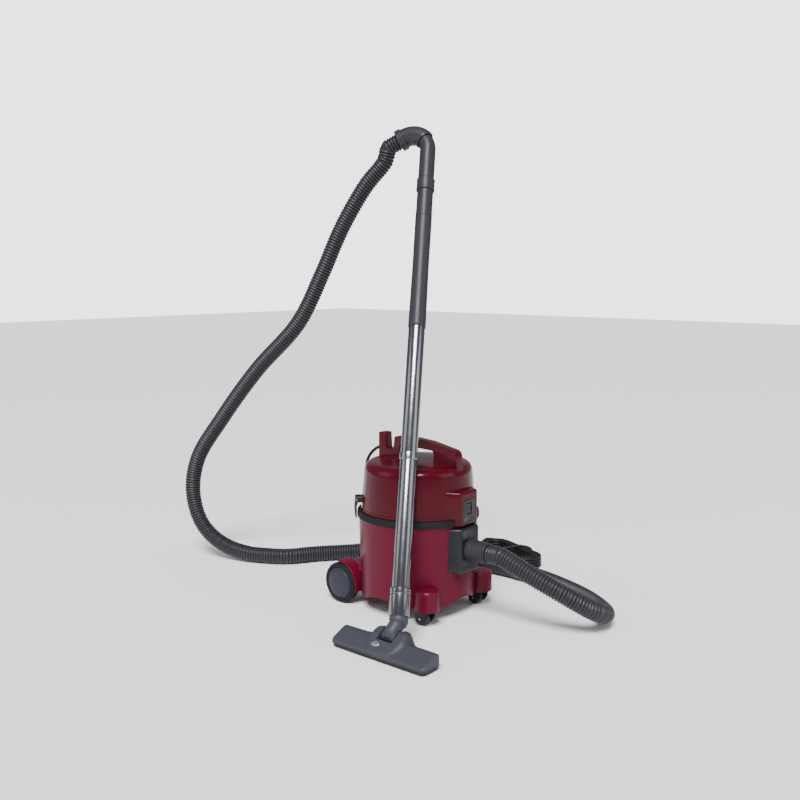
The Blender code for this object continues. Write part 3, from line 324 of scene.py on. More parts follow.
def woven(name, colour):
    """Filter cloth: crossing threads with a little fluff."""
    made = Finish(name, colour, 0.9)
    x, y, z = made.parts(made.turned_to((0, 0, 0)))
    around = made.node("ShaderNodeMath", {"operation": "ARCTAN2"}, y, x)
    threads = (around * 420.0).wave() * 0.5 + (z * 4200.0).wave() * 0.5
    made.shade(threads * 0.6 + made.noise(120.0, 5.0) * 0.4, 0.22)
    made.feed("Roughness", threads * 0.1 + 0.85)
    made.relief(threads, 0.5, 0.0004)
    return made.made


def wound(name, colour):
    """Varnished copper windings in upright strands."""
    made = Finish(name, colour, 0.35, metallic=1.0)
    x, y, z = made.parts(made.turned_to((0, 0, 0)))
    around = made.node("ShaderNodeMath", {"operation": "ARCTAN2"}, y, x)
    strands = (around * 150.0 + z * 260.0).wave()
    made.shade(strands, 0.35)
    made.feed("Roughness", strands * 0.2 + 0.3)
    made.relief(strands, 0.5, 0.0005)
    return made.made


FINISHES = {}


def make_finishes():
    """Every finish, made once."""
    c = bpy.context.scene.vacuum_colours
    foot, axis = WAND_FOOT, WAND_AXIS
    FINISHES.update(
        head=moulded("head_gloss", c.head, 0.22, 260.0, 0.00006, 0.06, specular_ior_level=0.13,
                      coat_weight=0.07, coat_roughness=0.05),
        tub=moulded("tub_satin", c.tub, 0.34, 420.0, 0.00010, 0.08, specular_ior_level=0.13),
        black=moulded("black_moulding", c.black, 0.42, 620.0, 0.00015, 0.25),
        gloss_black=moulded("black_gloss", c.black, 0.24, 300.0, 0.00006, 0.2),
        hub=moulded("wheel_disc", c.hub, 0.42, 500.0, 0.00012, 0.10),
        handle=moulded("handle_moulding", c.handle, 0.44, 560.0, 0.00014, 0.10),
        tool=moulded("tool_moulding", c.tool, 0.50, 640.0, 0.00022, 0.12),
        pale=moulded("pale_moulding", c.pale, 0.50, 420.0, 0.00012, 0.06),
        rubber=rubbery("soft_rubber", c.rubber, 0.72),
        lead=rubbery("lead_sheath", c.rubber, 0.46),
        hose=ribbed_hose("hose_plastic", c.hose),
        chrome=brushed("wand_chrome", c.chrome, 0.17, foot, axis, spread=0.06),
        steel=brushed("plain_steel", c.steel, 0.36, (0, 0, 0), (0, 0, 1)),
        sole=brushed("sole_steel", [v * 0.08 for v in c.steel], 0.5, (0, 0, 0), (0, 1, 0)),
        axle=brushed("axle_steel", c.steel, 0.30, (0, AXLE_Y, WHEEL_R), (1, 0, 0)),
        cloth=woven("filter_weave", c.cloth),
        copper=wound("copper_windings", c.copper),
        bristle=rubbery("bristle_fibre", [v * 1.6 for v in c.rubber], 0.85),
    )


# ---------------------------------------------------------------- making pieces
def settle(thing, finish, body, *nodes, smooth=35.0):
    """Finish a mesh piece: its material, its shading, its place in the model and its body."""
    thing.data.materials.clear()
    thing.data.materials.append(FINISHES[finish])
    thing.data.transform(Matrix.Translation(SHIFT) @ thing.matrix_world)
    thing.matrix_world = Matrix.Identity(4)
    if smooth:
        thing.data.shade_smooth()
        thing.data.set_sharp_from_angle(angle=math.radians(smooth))
    if body:
        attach(thing, body)
    if nodes:
        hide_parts(*nodes)
        frame_slot(nodes[0])
    return thing


def painted(node, finish):
    """Give a CAD node that is shown as it is its finish."""
    frame["nodes"][node].data.materials[0] = FINISHES[finish]


def frame_slot(node):
    """The record's material slot of a CAD node."""
    return next(s["material_slot"] for s in frame["record"]["subparts"] if s["node"] == node)


def from_mesh(name, points, faces):
    """A linked mesh object from points and faces."""
    mesh = bpy.data.meshes.new(name)
    mesh.from_pydata([tuple(p) for p in points], [], faces)
    thing = bpy.data.objects.new(name, mesh)
    bpy.context.scene.collection.objects.link(thing)
    return thing


def applied(thing):
    """The object with its modifiers worked into its mesh."""
    graph = bpy.context.evaluated_depsgraph_get()
    graph.update()
    mesh = bpy.data.meshes.new_from_object(thing.evaluated_get(graph))
    thing.modifiers.clear()
    thing.data = mesh
    return thing


def softened(thing, width, segments=3, angle=38.0):
    """Round the sharp edges of a finished shape."""
    edges = thing.modifiers.new("Edges", "BEVEL")
    edges.width, edges.segments = width, segments
    edges.limit_method, edges.angle_limit = "ANGLE", math.radians(angle)
    return applied(thing)


def joined(thing, others, operation="DIFFERENCE"):
    """Cut other shapes out of one, or join them to it, and remove them."""
    for other in others:
        cut = thing.modifiers.new(operation, "BOOLEAN")
        cut.operation, cut.solver, cut.object = operation, "EXACT", other
    applied(thing)
    for other in others:
        bpy.data.objects.remove(other, do_unlink=True)
    return thing


def block(name, low, high, edge=0.0, segments=3):
    """A box with rounded edges."""
    low, high = Vector(low), Vector(high)
    corners = [(x, y, z) for x in (low.x, high.x) for y in (low.y, high.y) for z in (low.z, high.z)]
    thing = from_mesh(name, corners, [(0, 1, 3, 2), (4, 6, 7, 5), (0, 4, 5, 1), (2, 3, 7, 6),
                                      (0, 2, 6, 4), (1, 5, 7, 3)])
    return softened(thing, edge, segments) if edge else thing


def eased(profile, radius, closed=False, steps=4):
    """A profile with its corners rounded, as far as the neighbouring lines leave room."""
    points = [Vector(p) for p in profile]
    count, made = len(points), []
    for n, corner in enumerate(points):
        if not closed and n in (0, count - 1):
            made.append(corner)
            continue
        back, ahead = points[n - 1] - corner, points[(n + 1) % count] - corner
        half = back.angle(ahead) / 2
        reach = min(radius / max(math.tan(half), 1e-6), back.length * 0.45, ahead.length * 0.45)
        start, end = corner + back.normalized() * reach, corner + ahead.normalized() * reach
        if half > math.radians(86):
            made.append(corner)
            continue
        for k in range(steps + 1):
            t = k / steps
            made.append(start * (1 - t) ** 2 + corner * (2 * t * (1 - t)) + end * t ** 2)
    return made


def rounded(corners, steps=8):
    """A closed outline from corners given as (across, up, radius)."""
    loop = []
    for n, (x, y, radius) in enumerate(corners):
        before, after = corners[n - 1], corners[(n + 1) % len(corners)]
        loop += eased([before[:2], (x, y), after[:2]], radius, False, steps)[1:-1] if radius else [(x, y)]
    return loop


def lathe(name, profile, centre=(0, 0, 0), axis=(0, 0, 1), segments=128, radius=0.0, closed=True,
          steps=4):
    """A (radius, height) profile turned round an axis. A profile that starts and ends on the axis
    has closed=False."""
    points = eased(profile, radius, closed, steps) if radius else [Vector(p) for p in profile]
    turns = np.linspace(0, 2 * math.pi, segments, endpoint=False)
    frame_turn = Vector(axis).to_track_quat("Z", "Y").to_matrix()
    verts, rings = [], []
    for r, z in points:
        if r < 1e-7:
            rings.append([len(verts)] * segments)
            verts.append((0.0, 0.0, z))
        else:
            rings.append(list(range(len(verts), len(verts) + segments)))
            verts += [(r * math.cos(a), r * math.sin(a), z) for a in turns]
    faces = []
    pairs = list(zip(rings, rings[1:])) + ([(rings[-1], rings[0])] if closed else [])
    for upper, lower in pairs:
        for k in range(segments):
            quad = [upper[k], lower[k], lower[(k + 1) % segments], upper[(k + 1) % segments]]
            quad = [v for i, v in enumerate(quad) if v != quad[i - 1]]
            if len(quad) > 2:
                faces.append(quad)
    places = [frame_turn @ Vector(v) + Vector(centre) for v in verts]
    return outwards(from_mesh(name, places, faces))


def outwards(thing):
    """Merge doubles and point every face out."""
    shape = bmesh.new()
    shape.from_mesh(thing.data)
    bmesh.ops.remove_doubles(shape, verts=shape.verts, dist=1e-6)
    bmesh.ops.recalc_face_normals(shape, faces=shape.faces)
    shape.to_mesh(thing.data)
    shape.free()
    return thing


def rod(name, start, end, radius, sides=48, tip=None, edge=0.0):
    """A cylinder or cone between two points."""
    start, end = Vector(start), Vector(end)
    length = (end - start).length
    profile = [(0, length), (radius if tip is None else tip, length), (radius, 0), (0, 0)]
    return lathe(name, profile, start, end - start, sides, edge, closed=False)


def crossing(name, middle, reach, radius, sides, edge=0.0):
    """A rod through a place, reaching as far both ways."""
    return rod(name, middle - reach, middle + reach, radius, sides, edge=edge)


def slab(name, loop, half_depth, place=Matrix(), edge=0.0, segments=3):
    """A flat outline given a thickness both ways, with rounded edges."""
    count = len(loop)
    verts = [place @ Vector((x, y, z)) for z in (-half_depth, half_depth) for x, y in loop]
    faces = [list(range(count))[::-1], list(range(count, 2 * count))]
    faces += [(k, (k + 1) % count, count + (k + 1) % count, count + k) for k in range(count)]
    thing = outwards(from_mesh(name, verts, faces))
    return softened(thing, edge, segments, 50.0) if edge else thing


def smooth_route(points, spacing, lowest=0.0):
    """Evenly spaced points on the smooth curve through the given ones, straight at both ends."""
    first, last, points = points[0], points[-1], points[1:-1]
    points = np.array([tuple(p) for p in points], dtype=float)
    ends = np.vstack([2 * points[0] - points[1], points, 2 * points[-1] - points[-2]])
    knots = np.concatenate([[0.0], np.cumsum(np.sqrt(np.linalg.norm(np.diff(ends, axis=0), axis=1)))])
    fine = []
    for n in range(1, len(ends) - 2):
        p0, p1, p2, p3 = ends[n - 1:n + 3]
        t0, t1, t2, t3 = knots[n - 1:n + 3]
        for t in np.linspace(t1, t2, 24, endpoint=False):
            a1 = (t1 - t) / (t1 - t0) * p0 + (t - t0) / (t1 - t0) * p1
            a2 = (t2 - t) / (t2 - t1) * p1 + (t - t1) / (t2 - t1) * p2
            a3 = (t3 - t) / (t3 - t2) * p2 + (t - t2) / (t3 - t2) * p3
            b1 = (t2 - t) / (t2 - t0) * a1 + (t - t0) / (t2 - t0) * a2
            b2 = (t3 - t) / (t3 - t1) * a2 + (t - t1) / (t3 - t1) * a3
            fine.append((t2 - t) / (t2 - t1) * b1 + (t - t1) / (t2 - t1) * b2)
    fine = resampled(np.array(fine + [points[-1]]), spacing)
    fine[:, 2] = np.maximum(fine[:, 2], lowest)
    return np.vstack([first, fine, last])


def resampled(points, spacing):
    """Points spaced evenly along a line of points."""
    along = np.concatenate([[0.0], np.cumsum(np.linalg.norm(np.diff(points, axis=0), axis=1))])
    wanted = np.linspace(0.0, along[-1], max(2, round(along[-1] / spacing) + 1))
    return np.column_stack([np.interp(wanted, along, points[:, k]) for k in range(3)])


def swept(name, points, radii, sides=48, bore=None):
    """A round tube along points, each with its radius, capped or with a bore through it."""
    points = [Vector(p) for p in points]
    heading = [(points[min(n + 1, len(points) - 1)] - points[max(n - 1, 0)]).normalized()
               for n in range(len(points))]
    side = heading[0].orthogonal().normalized()
    sides_at = []
    for n, ahead in enumerate(heading):
        if n:
            side = heading[n - 1].rotation_difference(ahead) @ side
        side = (side - ahead * side.dot(ahead)).normalized()
        sides_at.append(side.copy())
    rings, verts = [], []

    def ring_at(n, radius):
        rings.append(len(verts))
        other = heading[n].cross(sides_at[n])
        for k in range(sides):
            turn = 2 * math.pi * k / sides
            verts.append(points[n] + (sides_at[n] * math.cos(turn) + other * math.sin(turn)) * radius)

    for n in range(len(points)):
        ring_at(n, radii[n])
    if bore:
        for n in range(len(points) - 1, -1, -1):
            ring_at(n, bore)
    pairs = list(zip(rings, rings[1:])) + ([(rings[-1], rings[0])] if bore else [])
    faces = [(a + k, a + (k + 1) % sides, b + (k + 1) % sides, b + k)
             for a, b in pairs for k in range(sides)]
    if not bore:
        faces += [list(range(sides)), list(range(rings[-1], rings[-1] + sides))]
    return outwards(from_mesh(name, verts, faces))


def splayed(name, front, back, levels, edge):
    """A housing that stands out from a round wall and widens towards it."""
    loop = [(-front[0], front[1]), (front[0], front[1]), (back[0], back[1]), (-back[0], back[1])]
    middle = Matrix.Translation((0, 0, sum(levels) / 2))
    return slab(name, loop, (levels[1] - levels[0]) / 2, middle, edge, 4)


def head_profile(inset=0.0):
    """Outside of the head from its crown to its lower edge."""
    return [(0.0, 0.3360 - inset), (0.060 - inset, 0.3348 - inset), (0.1190 - inset, 0.3300 - inset),
            (0.1275 - inset, HEAD_BOTTOM)]


def head_core(inset):
    """The room that the head takes up, to cut out of what stands on it."""
    profile = [*eased(head_profile(inset), 0.0225, False, 10), (0, HEAD_BOTTOM)]
    return lathe("core", profile, segments=160, closed=False)


def along(distance):
    """A point on the wand's axis, from its foot."""
    return WAND_FOOT + WAND_AXIS * distance


def bend(angle):
    """A point on the bend of the handle, and the tube's direction there."""
    side = (BEND_HEADING - WAND_AXIS * BEND_HEADING.dot(WAND_AXIS)).normalized()
    place = along(BEND_START) + WAND_AXIS * (BEND_R * math.sin(angle))
    place += side * (BEND_R * (1 - math.cos(angle)))
    return place, WAND_AXIS * math.cos(angle) + side * math.sin(angle)


def gland_seat():
    """Where the lead's gland sits on the head's shoulder, and which way it faces."""
    low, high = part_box("cord_gland")
    seat = (low + high) / 2 - SHIFT
    across = Vector((math.cos(GLAND_TURN), math.sin(GLAND_TURN), 0.0))
    facing = (across * 0.674 + UP * 0.739).normalized()
    return seat - facing * 0.0020, facing


# ---------------------------------------------------------------- geometry node trees
class Tree:
    """A Geometry Nodes tree with named inputs, and its one output."""

    def __init__(self, name, **inputs):
        self.group = bpy.data.node_groups.new(name, "GeometryNodeTree")
        self.group.interface.new_socket("Geometry", in_out="INPUT", socket_type="NodeSocketGeometry")
        self.names = {}
        for label, (kind, default) in inputs.items():
            made = self.group.interface.new_socket(
                label.replace("_", " ").title(), in_out="INPUT", socket_type="NodeSocket" + kind)
            if default is not None:
                made.default_value = default
            self.names[label] = made.identifier
        self.group.interface.new_socket("Geometry", in_out="OUTPUT", socket_type="NodeSocketGeometry")
        self.start = self.group.nodes.new("NodeGroupInput")
        self.end = self.group.nodes.new("NodeGroupOutput")

    def given(self, label):
        return self.start.outputs[label.replace("_", " ").title()]

    def add(self, kind, settings=None, output=0, **values):
        """Add a node and return one of its outputs. Names of sockets use _ for a space."""
        made = self.group.nodes.new(kind)
        for key, value in (settings or {}).items():
            setattr(made, key, value)
        for key, value in values.items():
            found = int(key[1:]) if key[0] == "n" and key[1:].isdigit() else key.replace("_", " ")
            if isinstance(value, bpy.types.NodeSocket):
                self.group.links.new(value, made.inputs[found])
            else:
                made.inputs[found].default_value = value
        return made.outputs[output]

    def maths(self, operation, first, second=0.0):
        return self.add("ShaderNodeMath", {"operation": operation}, n0=first, n1=second)

    def close(self, geometry, finish):
        """End in Realize Instances and Set Material."""
        whole = self.add("GeometryNodeRealizeInstances", Geometry=geometry)
        shown = self.add("GeometryNodeSetMaterial", Geometry=whole)
        shown.node.inputs["Material"].default_value = FINISHES[finish]
        self.group.links.new(shown, self.end.inputs[0])

    def grown_on(self, thing, **values):
        """Run the tree on an object and return it with the result as its plain mesh."""
        runner = thing.modifiers.new("Grow", "NODES")
        runner.node_group = self.group
        for label, value in values.items():
            runner[self.names[label]] = value
        bpy.context.view_layer.update()
        if thing.type == "MESH":
            return applied(thing)
        graph = bpy.context.evaluated_depsgraph_get()
        mesh = bpy.data.meshes.new_from_object(thing.evaluated_get(graph))
        solid = bpy.data.objects.new(thing.name + "_mesh", mesh)
        bpy.context.scene.collection.objects.link(solid)
        bpy.data.objects.remove(thing, do_unlink=True)
        return solid


def route_curve(name, points):
    """A poly curve through points."""
    curve = bpy.data.curves.new(name, "CURVE")
    curve.dimensions = "3D"
    spline = curve.splines.new("POLY")
    spline.points.add(len(points) - 1)
    for point, place in zip(spline.points, points):
        point.co = (*place, 1.0)
    thing = bpy.data.objects.new(name, curve)
    bpy.context.scene.collection.objects.link(thing)
    return thing


def rib_tree():
    """Ribbed tube along a curve: its radius rises and falls once for each rib."""
    tree = Tree("Ribbed tube", radius=("Float", 0.02), rib_pitch=("Float", 0.0068),
                rib_depth=("Float", 0.0026), steps_per_rib=("Float", 6.0), sides=("Int", 32))
    step = tree.maths("DIVIDE", tree.given("rib_pitch"), tree.given("steps_per_rib"))
    line = tree.add("GeometryNodeResampleCurve", {"mode": "LENGTH"},
                    Curve=tree.start.outputs["Geometry"], Length=step)
    reach = tree.add("GeometryNodeSplineParameter", output="Length")
    turns = tree.maths("DIVIDE", reach, tree.given("rib_pitch"))
    wave = tree.maths("COSINE", tree.maths("MULTIPLY", turns, 2 * math.pi))
    hollow = tree.maths("MULTIPLY", tree.maths("SUBTRACT", 1.0, wave), 0.5)
    groove = tree.maths("POWER", hollow, 1.6)
    sunk = tree.maths("MULTIPLY", groove, tree.given("rib_depth"))
    thick = tree.maths("SUBTRACT", tree.given("radius"), sunk)
    kept = tree.add("GeometryNodeStoreNamedAttribute", {"data_type": "FLOAT", "domain": "POINT"},
                    Geometry=line, Name="groove", Value=groove)
    ring = tree.add("GeometryNodeCurvePrimitiveCircle", {"mode": "RADIUS"},
                    Resolution=tree.given("sides"), Radius=1.0)
    tube = tree.add("GeometryNodeCurveToMesh", Curve=kept, Profile_Curve=ring, Scale=thick, Fill_Caps=True)
    tree.close(tree.add("GeometryNodeSetShadeSmooth", Geometry=tube), "hose")
    return tree


def bristle_tree():
    """Tufts of bristles standing down from the edges of a mesh of lines."""
    tree = Tree("Bristle strip", spacing=("Float", 0.0016), length=("Float", 0.006),
                thickness=("Float", 0.00055), lean=("Float", 0.12), seed=("Int", 3))
    line = tree.add("GeometryNodeMeshToCurve", Mesh=tree.start.outputs["Geometry"])
    points = tree.add("GeometryNodeCurveToPoints", {"mode": "LENGTH"}, Curve=line,
                      Length=tree.given("spacing"))
    tuft = tree.add("GeometryNodeMeshCone", {"fill_type": "NGON"}, Vertices=5,
                    Radius_Top=tree.maths("MULTIPLY", tree.given("thickness"), 1.2),
                    Radius_Bottom=tree.given("thickness"), Depth=tree.given("length"))
    offset = tree.add("ShaderNodeCombineXYZ", Z=tree.maths("MULTIPLY", tree.given("length"), -1.0))
    tuft = tree.add("GeometryNodeTransform", Geometry=tuft, Translation=offset)
    lean = tree.given("lean")
    back = tree.maths("MULTIPLY", lean, -1.0)
    low = tree.add("ShaderNodeCombineXYZ", X=back, Y=back, Z=-3.0)
    high = tree.add("ShaderNodeCombineXYZ", X=lean, Y=lean, Z=3.0)
    turn = tree.add("FunctionNodeRandomValue", {"data_type": "FLOAT_VECTOR"}, n0=low, n1=high,
                    Seed=tree.given("seed"))
    spread = tree.add("GeometryNodeInstanceOnPoints", Points=points, Instance=tuft, Rotation=turn)
    tree.close(spread, "bristle")
    return tree


def ring_tree(name, finish):
    """Copies of a small shape, evenly round a circle about Z, each turned to face out."""
    tree = Tree(name, count=("Int", 8), circle_radius=("Float", 0.1), height=("Float", 0.0))
    ring = tree.add("GeometryNodeCurvePrimitiveCircle", {"mode": "RADIUS"},
                    Resolution=tree.given("count"), Radius=tree.given("circle_radius"))
    points = tree.add("GeometryNodeCurveToPoints", {"mode": "EVALUATED"}, Curve=ring)
    index = tree.add("GeometryNodeInputIndex")
    step = tree.maths("DIVIDE", 2 * math.pi, tree.given("count"))
    turn = tree.add("ShaderNodeCombineXYZ", Z=tree.maths("MULTIPLY", index, step))
    copies = tree.add("GeometryNodeInstanceOnPoints", Points=points,
                      Instance=tree.start.outputs["Geometry"], Rotation=turn)
    lift = tree.add("ShaderNodeCombineXYZ", Z=tree.given("height"))
    tree.close(tree.add("GeometryNodeTransform", Geometry=copies, Translation=lift), finish)
    return tree


# ---------------------------------------------------------------- operators
class PieceOperator(bpy.types.Operator):
    """Common to every piece."""

    bl_options = {"REGISTER", "UNDO"}

    def execute(self, context):
        self.build(context.scene.vacuum_sizes)
        return {"FINISHED"}


class VACUUM_OT_stage(PieceOperator):
    """Pale floor, soft lights and the camera"""

    bl_idname = "vacuum.stage"
    bl_label = "Stage"

    def build(self, sizes):
        floor = from_mesh("floor", [(-12, -12, 0), (12, -12, 0), (12, 12, 0), (-12, 12, 0)], [(0, 1, 2, 3)])
        surface = Finish("floor_white", (0.86, 0.86, 0.86), 0.6)
        surface.shade(surface.noise(0.4, 1.0), 0.01)
        floor.data.materials.append(surface.made)
        floor.location.z = -0.0004
        world = bpy.context.scene.world or bpy.data.worlds.new("World")
        bpy.context.scene.world = world
        world.use_nodes = True
        sky = world.node_tree.nodes["Background"]
        sky.inputs["Color"].default_value = (0.95, 0.96, 1.0, 1.0)
        seen = world.node_tree.nodes.new("ShaderNodeLightPath").outputs["Is Camera Ray"]
        strength = world.node_tree.nodes.new("ShaderNodeMapRange")
        strength.inputs["To Min"].default_value, strength.inputs["To Max"].default_value = 0.36, 3.2
        world.node_tree.links.new(seen, strength.inputs["Value"])
        world.node_tree.links.new(strength.outputs["Result"], sky.inputs["Strength"])
        self.camera()
        lights = (("key", "SUN", (-2.6, -1.6, 4.2), math.radians(24), 6.4),
                  ("front", "AREA", (0.9, -3.2, 1.7), 2.0, 30.0),
                  ("side", "AREA", (-2.2, 1.6, 1.4), 1.6, 16.0))
        for name, kind, place, spread, power in lights:
            light = bpy.data.lights.new(name, kind)
            light.energy = power
            setattr(light, "angle" if kind == "SUN" else "size", spread)
            lamp = bpy.data.objects.new(name, light)
            lamp.location = Vector(place) + SHIFT
            aim = Vector((0.05, 0.05, 0.3)) + SHIFT - lamp.location
            lamp.rotation_euler = aim.to_track_quat("-Z", "Y").to_euler()
            bpy.context.scene.collection.objects.link(lamp)

    def camera(self):
        """The camera stands to the machine's right of its front, at chest height."""
        lens = bpy.data.cameras.new("camera")
        lens.lens, lens.sensor_width = 45.0, 36.0
        view = bpy.data.objects.new("camera", lens)
        yaw, pitch = math.radians(-48.71), math.radians(7.52)
        facing = Vector((-math.sin(yaw), math.cos(yaw), 0)) * math.cos(pitch) - UP * math.sin(pitch)
        view.location = Vector((-1.6686, -1.4111, 0.7539)) + SHIFT
        view.rotation_euler = facing.to_track_quat("-Z", "Y").to_euler()
        bpy.context.scene.collection.objects.link(view)
        bpy.context.scene.camera = view


class VACUUM_OT_hose(PieceOperator):
    """Ribbed hose from the handle to the inlet"""

    bl_idname = "vacuum.hose"
    bl_label = "Hose"

    def build(self, sizes):
        place, facing = bend(BEND_ANGLE)
        start, end = place + facing * 0.0123, Vector((0.0, -CUFF_END - 0.0003, PORT_Z))
        points = [start, start + facing * 0.030, *HOSE_ROUTE, end + Vector((0, -0.030, 0)), end]
        radius = sizes.hose_diameter / 2
        route = smooth_route(points, 0.010, radius + 0.0003)
        hose = rib_tree().grown_on(route_curve("hose_line", route), radius=radius,
                                   rib_pitch=sizes.rib_pitch, rib_depth=sizes.rib_depth)
        hose.name = "ribbed_hose"
        settle(hose, "hose", None, smooth=60.0)
        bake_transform(hose)
        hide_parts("hose")
        frame_slot("hose")


class VACUUM_OT_lead(PieceOperator):
    """Mains lead, its hank, tie, plug and gland"""

    bl_idname = "vacuum.lead"
    bl_label = "Mains lead"
    LAYERS = 4
    OFFSETS = (0.0375, 0.0303, 0.0231)
    LOWEST, HALF_RUN = 0.0058, 0.065

    def hank_turns(self, pitch):
        """The wound turns: three side by side and four high, spiralling in and out by layers."""
        radii, levels = [], []
        for layer in range(self.LAYERS):
            radii += self.OFFSETS if layer % 2 == 0 else self.OFFSETS[::-1]
            levels += [self.LOWEST + layer * pitch] * len(self.OFFSETS)
        points = []
        ahead = Vector((math.cos(HANK_TURN), math.sin(HANK_TURN), 0))
        far, near = HANK_CENTRE + ahead * self.HALF_RUN, HANK_CENTRE - ahead * self.HALF_RUN
        right = HANK_TURN - math.pi / 2
        side = Vector((math.cos(right), math.sin(right), 0))

        def arc(centre, first, sweep, r, z):
            steps = max(2, round(abs(sweep) / 0.22))
            for k in range(steps):
                a = first + sweep * k / steps
                points.append((centre.x + r * math.cos(a), centre.y + r * math.sin(a), z))

        for n, (radius, level) in enumerate(zip(radii, levels)):
            last = n == len(radii) - 1
            radius_next, level_next = (radius, level) if last else (radii[n + 1], levels[n + 1])
            arc(far, HANK_TURN, right - HANK_TURN, radius, level)
            points += [tuple(far.lerp(near, k / 6) + side * radius + UP * level) for k in range(6)]
            arc(near, right, -math.pi, radius, level)
            for k in range(8):
                t = k / 8
                ease = t * t * (3 - 2 * t)
                r, z = radius + (radius_next - radius) * ease, level + (level_next - level) * ease
                points.append(tuple(near.lerp(far, t) - side * r + UP * z))
            stop = math.radians(110.0) if last else HANK_TURN
            arc(far, right + math.pi, stop - right - math.pi, radius_next, level_next)
        return points

    def build(self, sizes):
        radius = sizes.lead_diameter / 2
        seat, facing = gland_seat()
        lead_in = [seat - facing * 0.0040, seat + facing * 0.0150, *LEAD_ROUTE]
        end = [PLUG_BACK - PLUG_HEADING * 0.010, PLUG_BACK - PLUG_HEADING * 0.0003]
        points = lead_in + self.hank_turns(sizes.lead_diameter) + TAIL_ROUTE + end
        route = smooth_route(points, 0.0055, radius + 0.0003)
        lead = swept("mains_lead", route, [radius] * len(route), 14)
        settle(lead, "lead", None, smooth=60.0)
        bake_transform(lead)
        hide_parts("power_cord", "cord_hank", "cord_tail")
        frame_slot("power_cord")
        plug = self.plug()
        self.gland(seat, facing)
        tie = self.tie()

    def plug(self):
        across = PLUG_HEADING.cross(UP)
        body = lathe("mains_plug", [(0, 0.0520), (0.0112, 0.0520), (0.0120, 0.0500), (0.0120, 0.0300),
                                    (0.0108, 0.0270), (0.0082, 0.0200), (0.0060, 0.0165), (0, 0.0165)],
                     PLUG_BACK, PLUG_HEADING, 48, 0.0012, closed=False)
        ribs = [rod(f"relief_{n}", PLUG_BACK + PLUG_HEADING * (0.0006 + n * 0.0034),
                    PLUG_BACK + PLUG_HEADING * (0.0024 + n * 0.0034), 0.0047 + n * 0.0002, 32, edge=0.0005)
                for n in range(5)]
        core = rod("relief_core", PLUG_BACK + PLUG_HEADING * 0.0001, PLUG_BACK + PLUG_HEADING * 0.018,
                   0.0040, 32)
        joined(body, [core, *ribs], "UNION")
        settle(body, "lead", "machine", smooth=40.0)
        pins = []
        for n, side in enumerate((-1, 1)):
            foot = PLUG_BACK + PLUG_HEADING * 0.0510 + across * (side * 0.0058)
            pins.append(rod(f"pin_{n}", foot, foot + PLUG_HEADING * 0.0190, 0.0022, 24, edge=0.0009))
        joined(pins[0], pins[1:], "UNION")
        pins[0].name = "plug_pins"
        settle(pins[0], "steel", "machine", smooth=40.0)
        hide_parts("plug")
        frame_slot("plug")
        pins[0].parent = body
        pins[0].matrix_parent_inverse = Matrix.Identity(4)
        return body

    def gland(self, seat, facing):
        """Ribbed strain relief on the head."""
        profile = [(0.0041, 0.0095), (0.0052, 0.0095), (0.0054, 0.0080), (0.0048, 0.0074), (0.0056, 0.0062),
                   (0.0050, 0.0054), (0.0058, 0.0042), (0.0053, 0.0034), (0.0062, 0.0022), (0.0085, 0.0016),
                   (0.0085, 0.0), (0.0059, 0.0), (0.0059, -0.0060), (0.0041, -0.0060)]
        relief = lathe("lead_relief", profile, seat, facing, 48, 0.0003, steps=2)
        settle(relief, "rubber", "head", "cord_gland")

    def tie(self):
        """The strap round the middle of the hank."""
        turn = Matrix.Translation(HANK_CENTRE) @ Matrix.Rotation(HANK_TURN, 4, "Z")
        stand = turn @ SIDE_ON
        outer, inner = (
            eased([(-half, low), (half, low), (half, high), (-half, high)], radius, True)
            for half, low, high, radius in ((0.0428, 0.0005, 0.0337, 0.007), (0.0412, 0.0020, 0.0322, 0.006)))
        strap = slab("lead_strap", outer, 0.0060, stand, 0.0004, 2)
        joined(strap, [slab("strap_inside", inner, 0.0080, stand)])
        tab = block("strap_tab", (-0.0055, 0.0428, 0.0080), (0.0055, 0.0436, 0.0300), 0.0003, 2)
        tab.data.transform(turn)
        joined(strap, [tab], "UNION")
        return settle(strap, "black", "machine", "cord_tie")


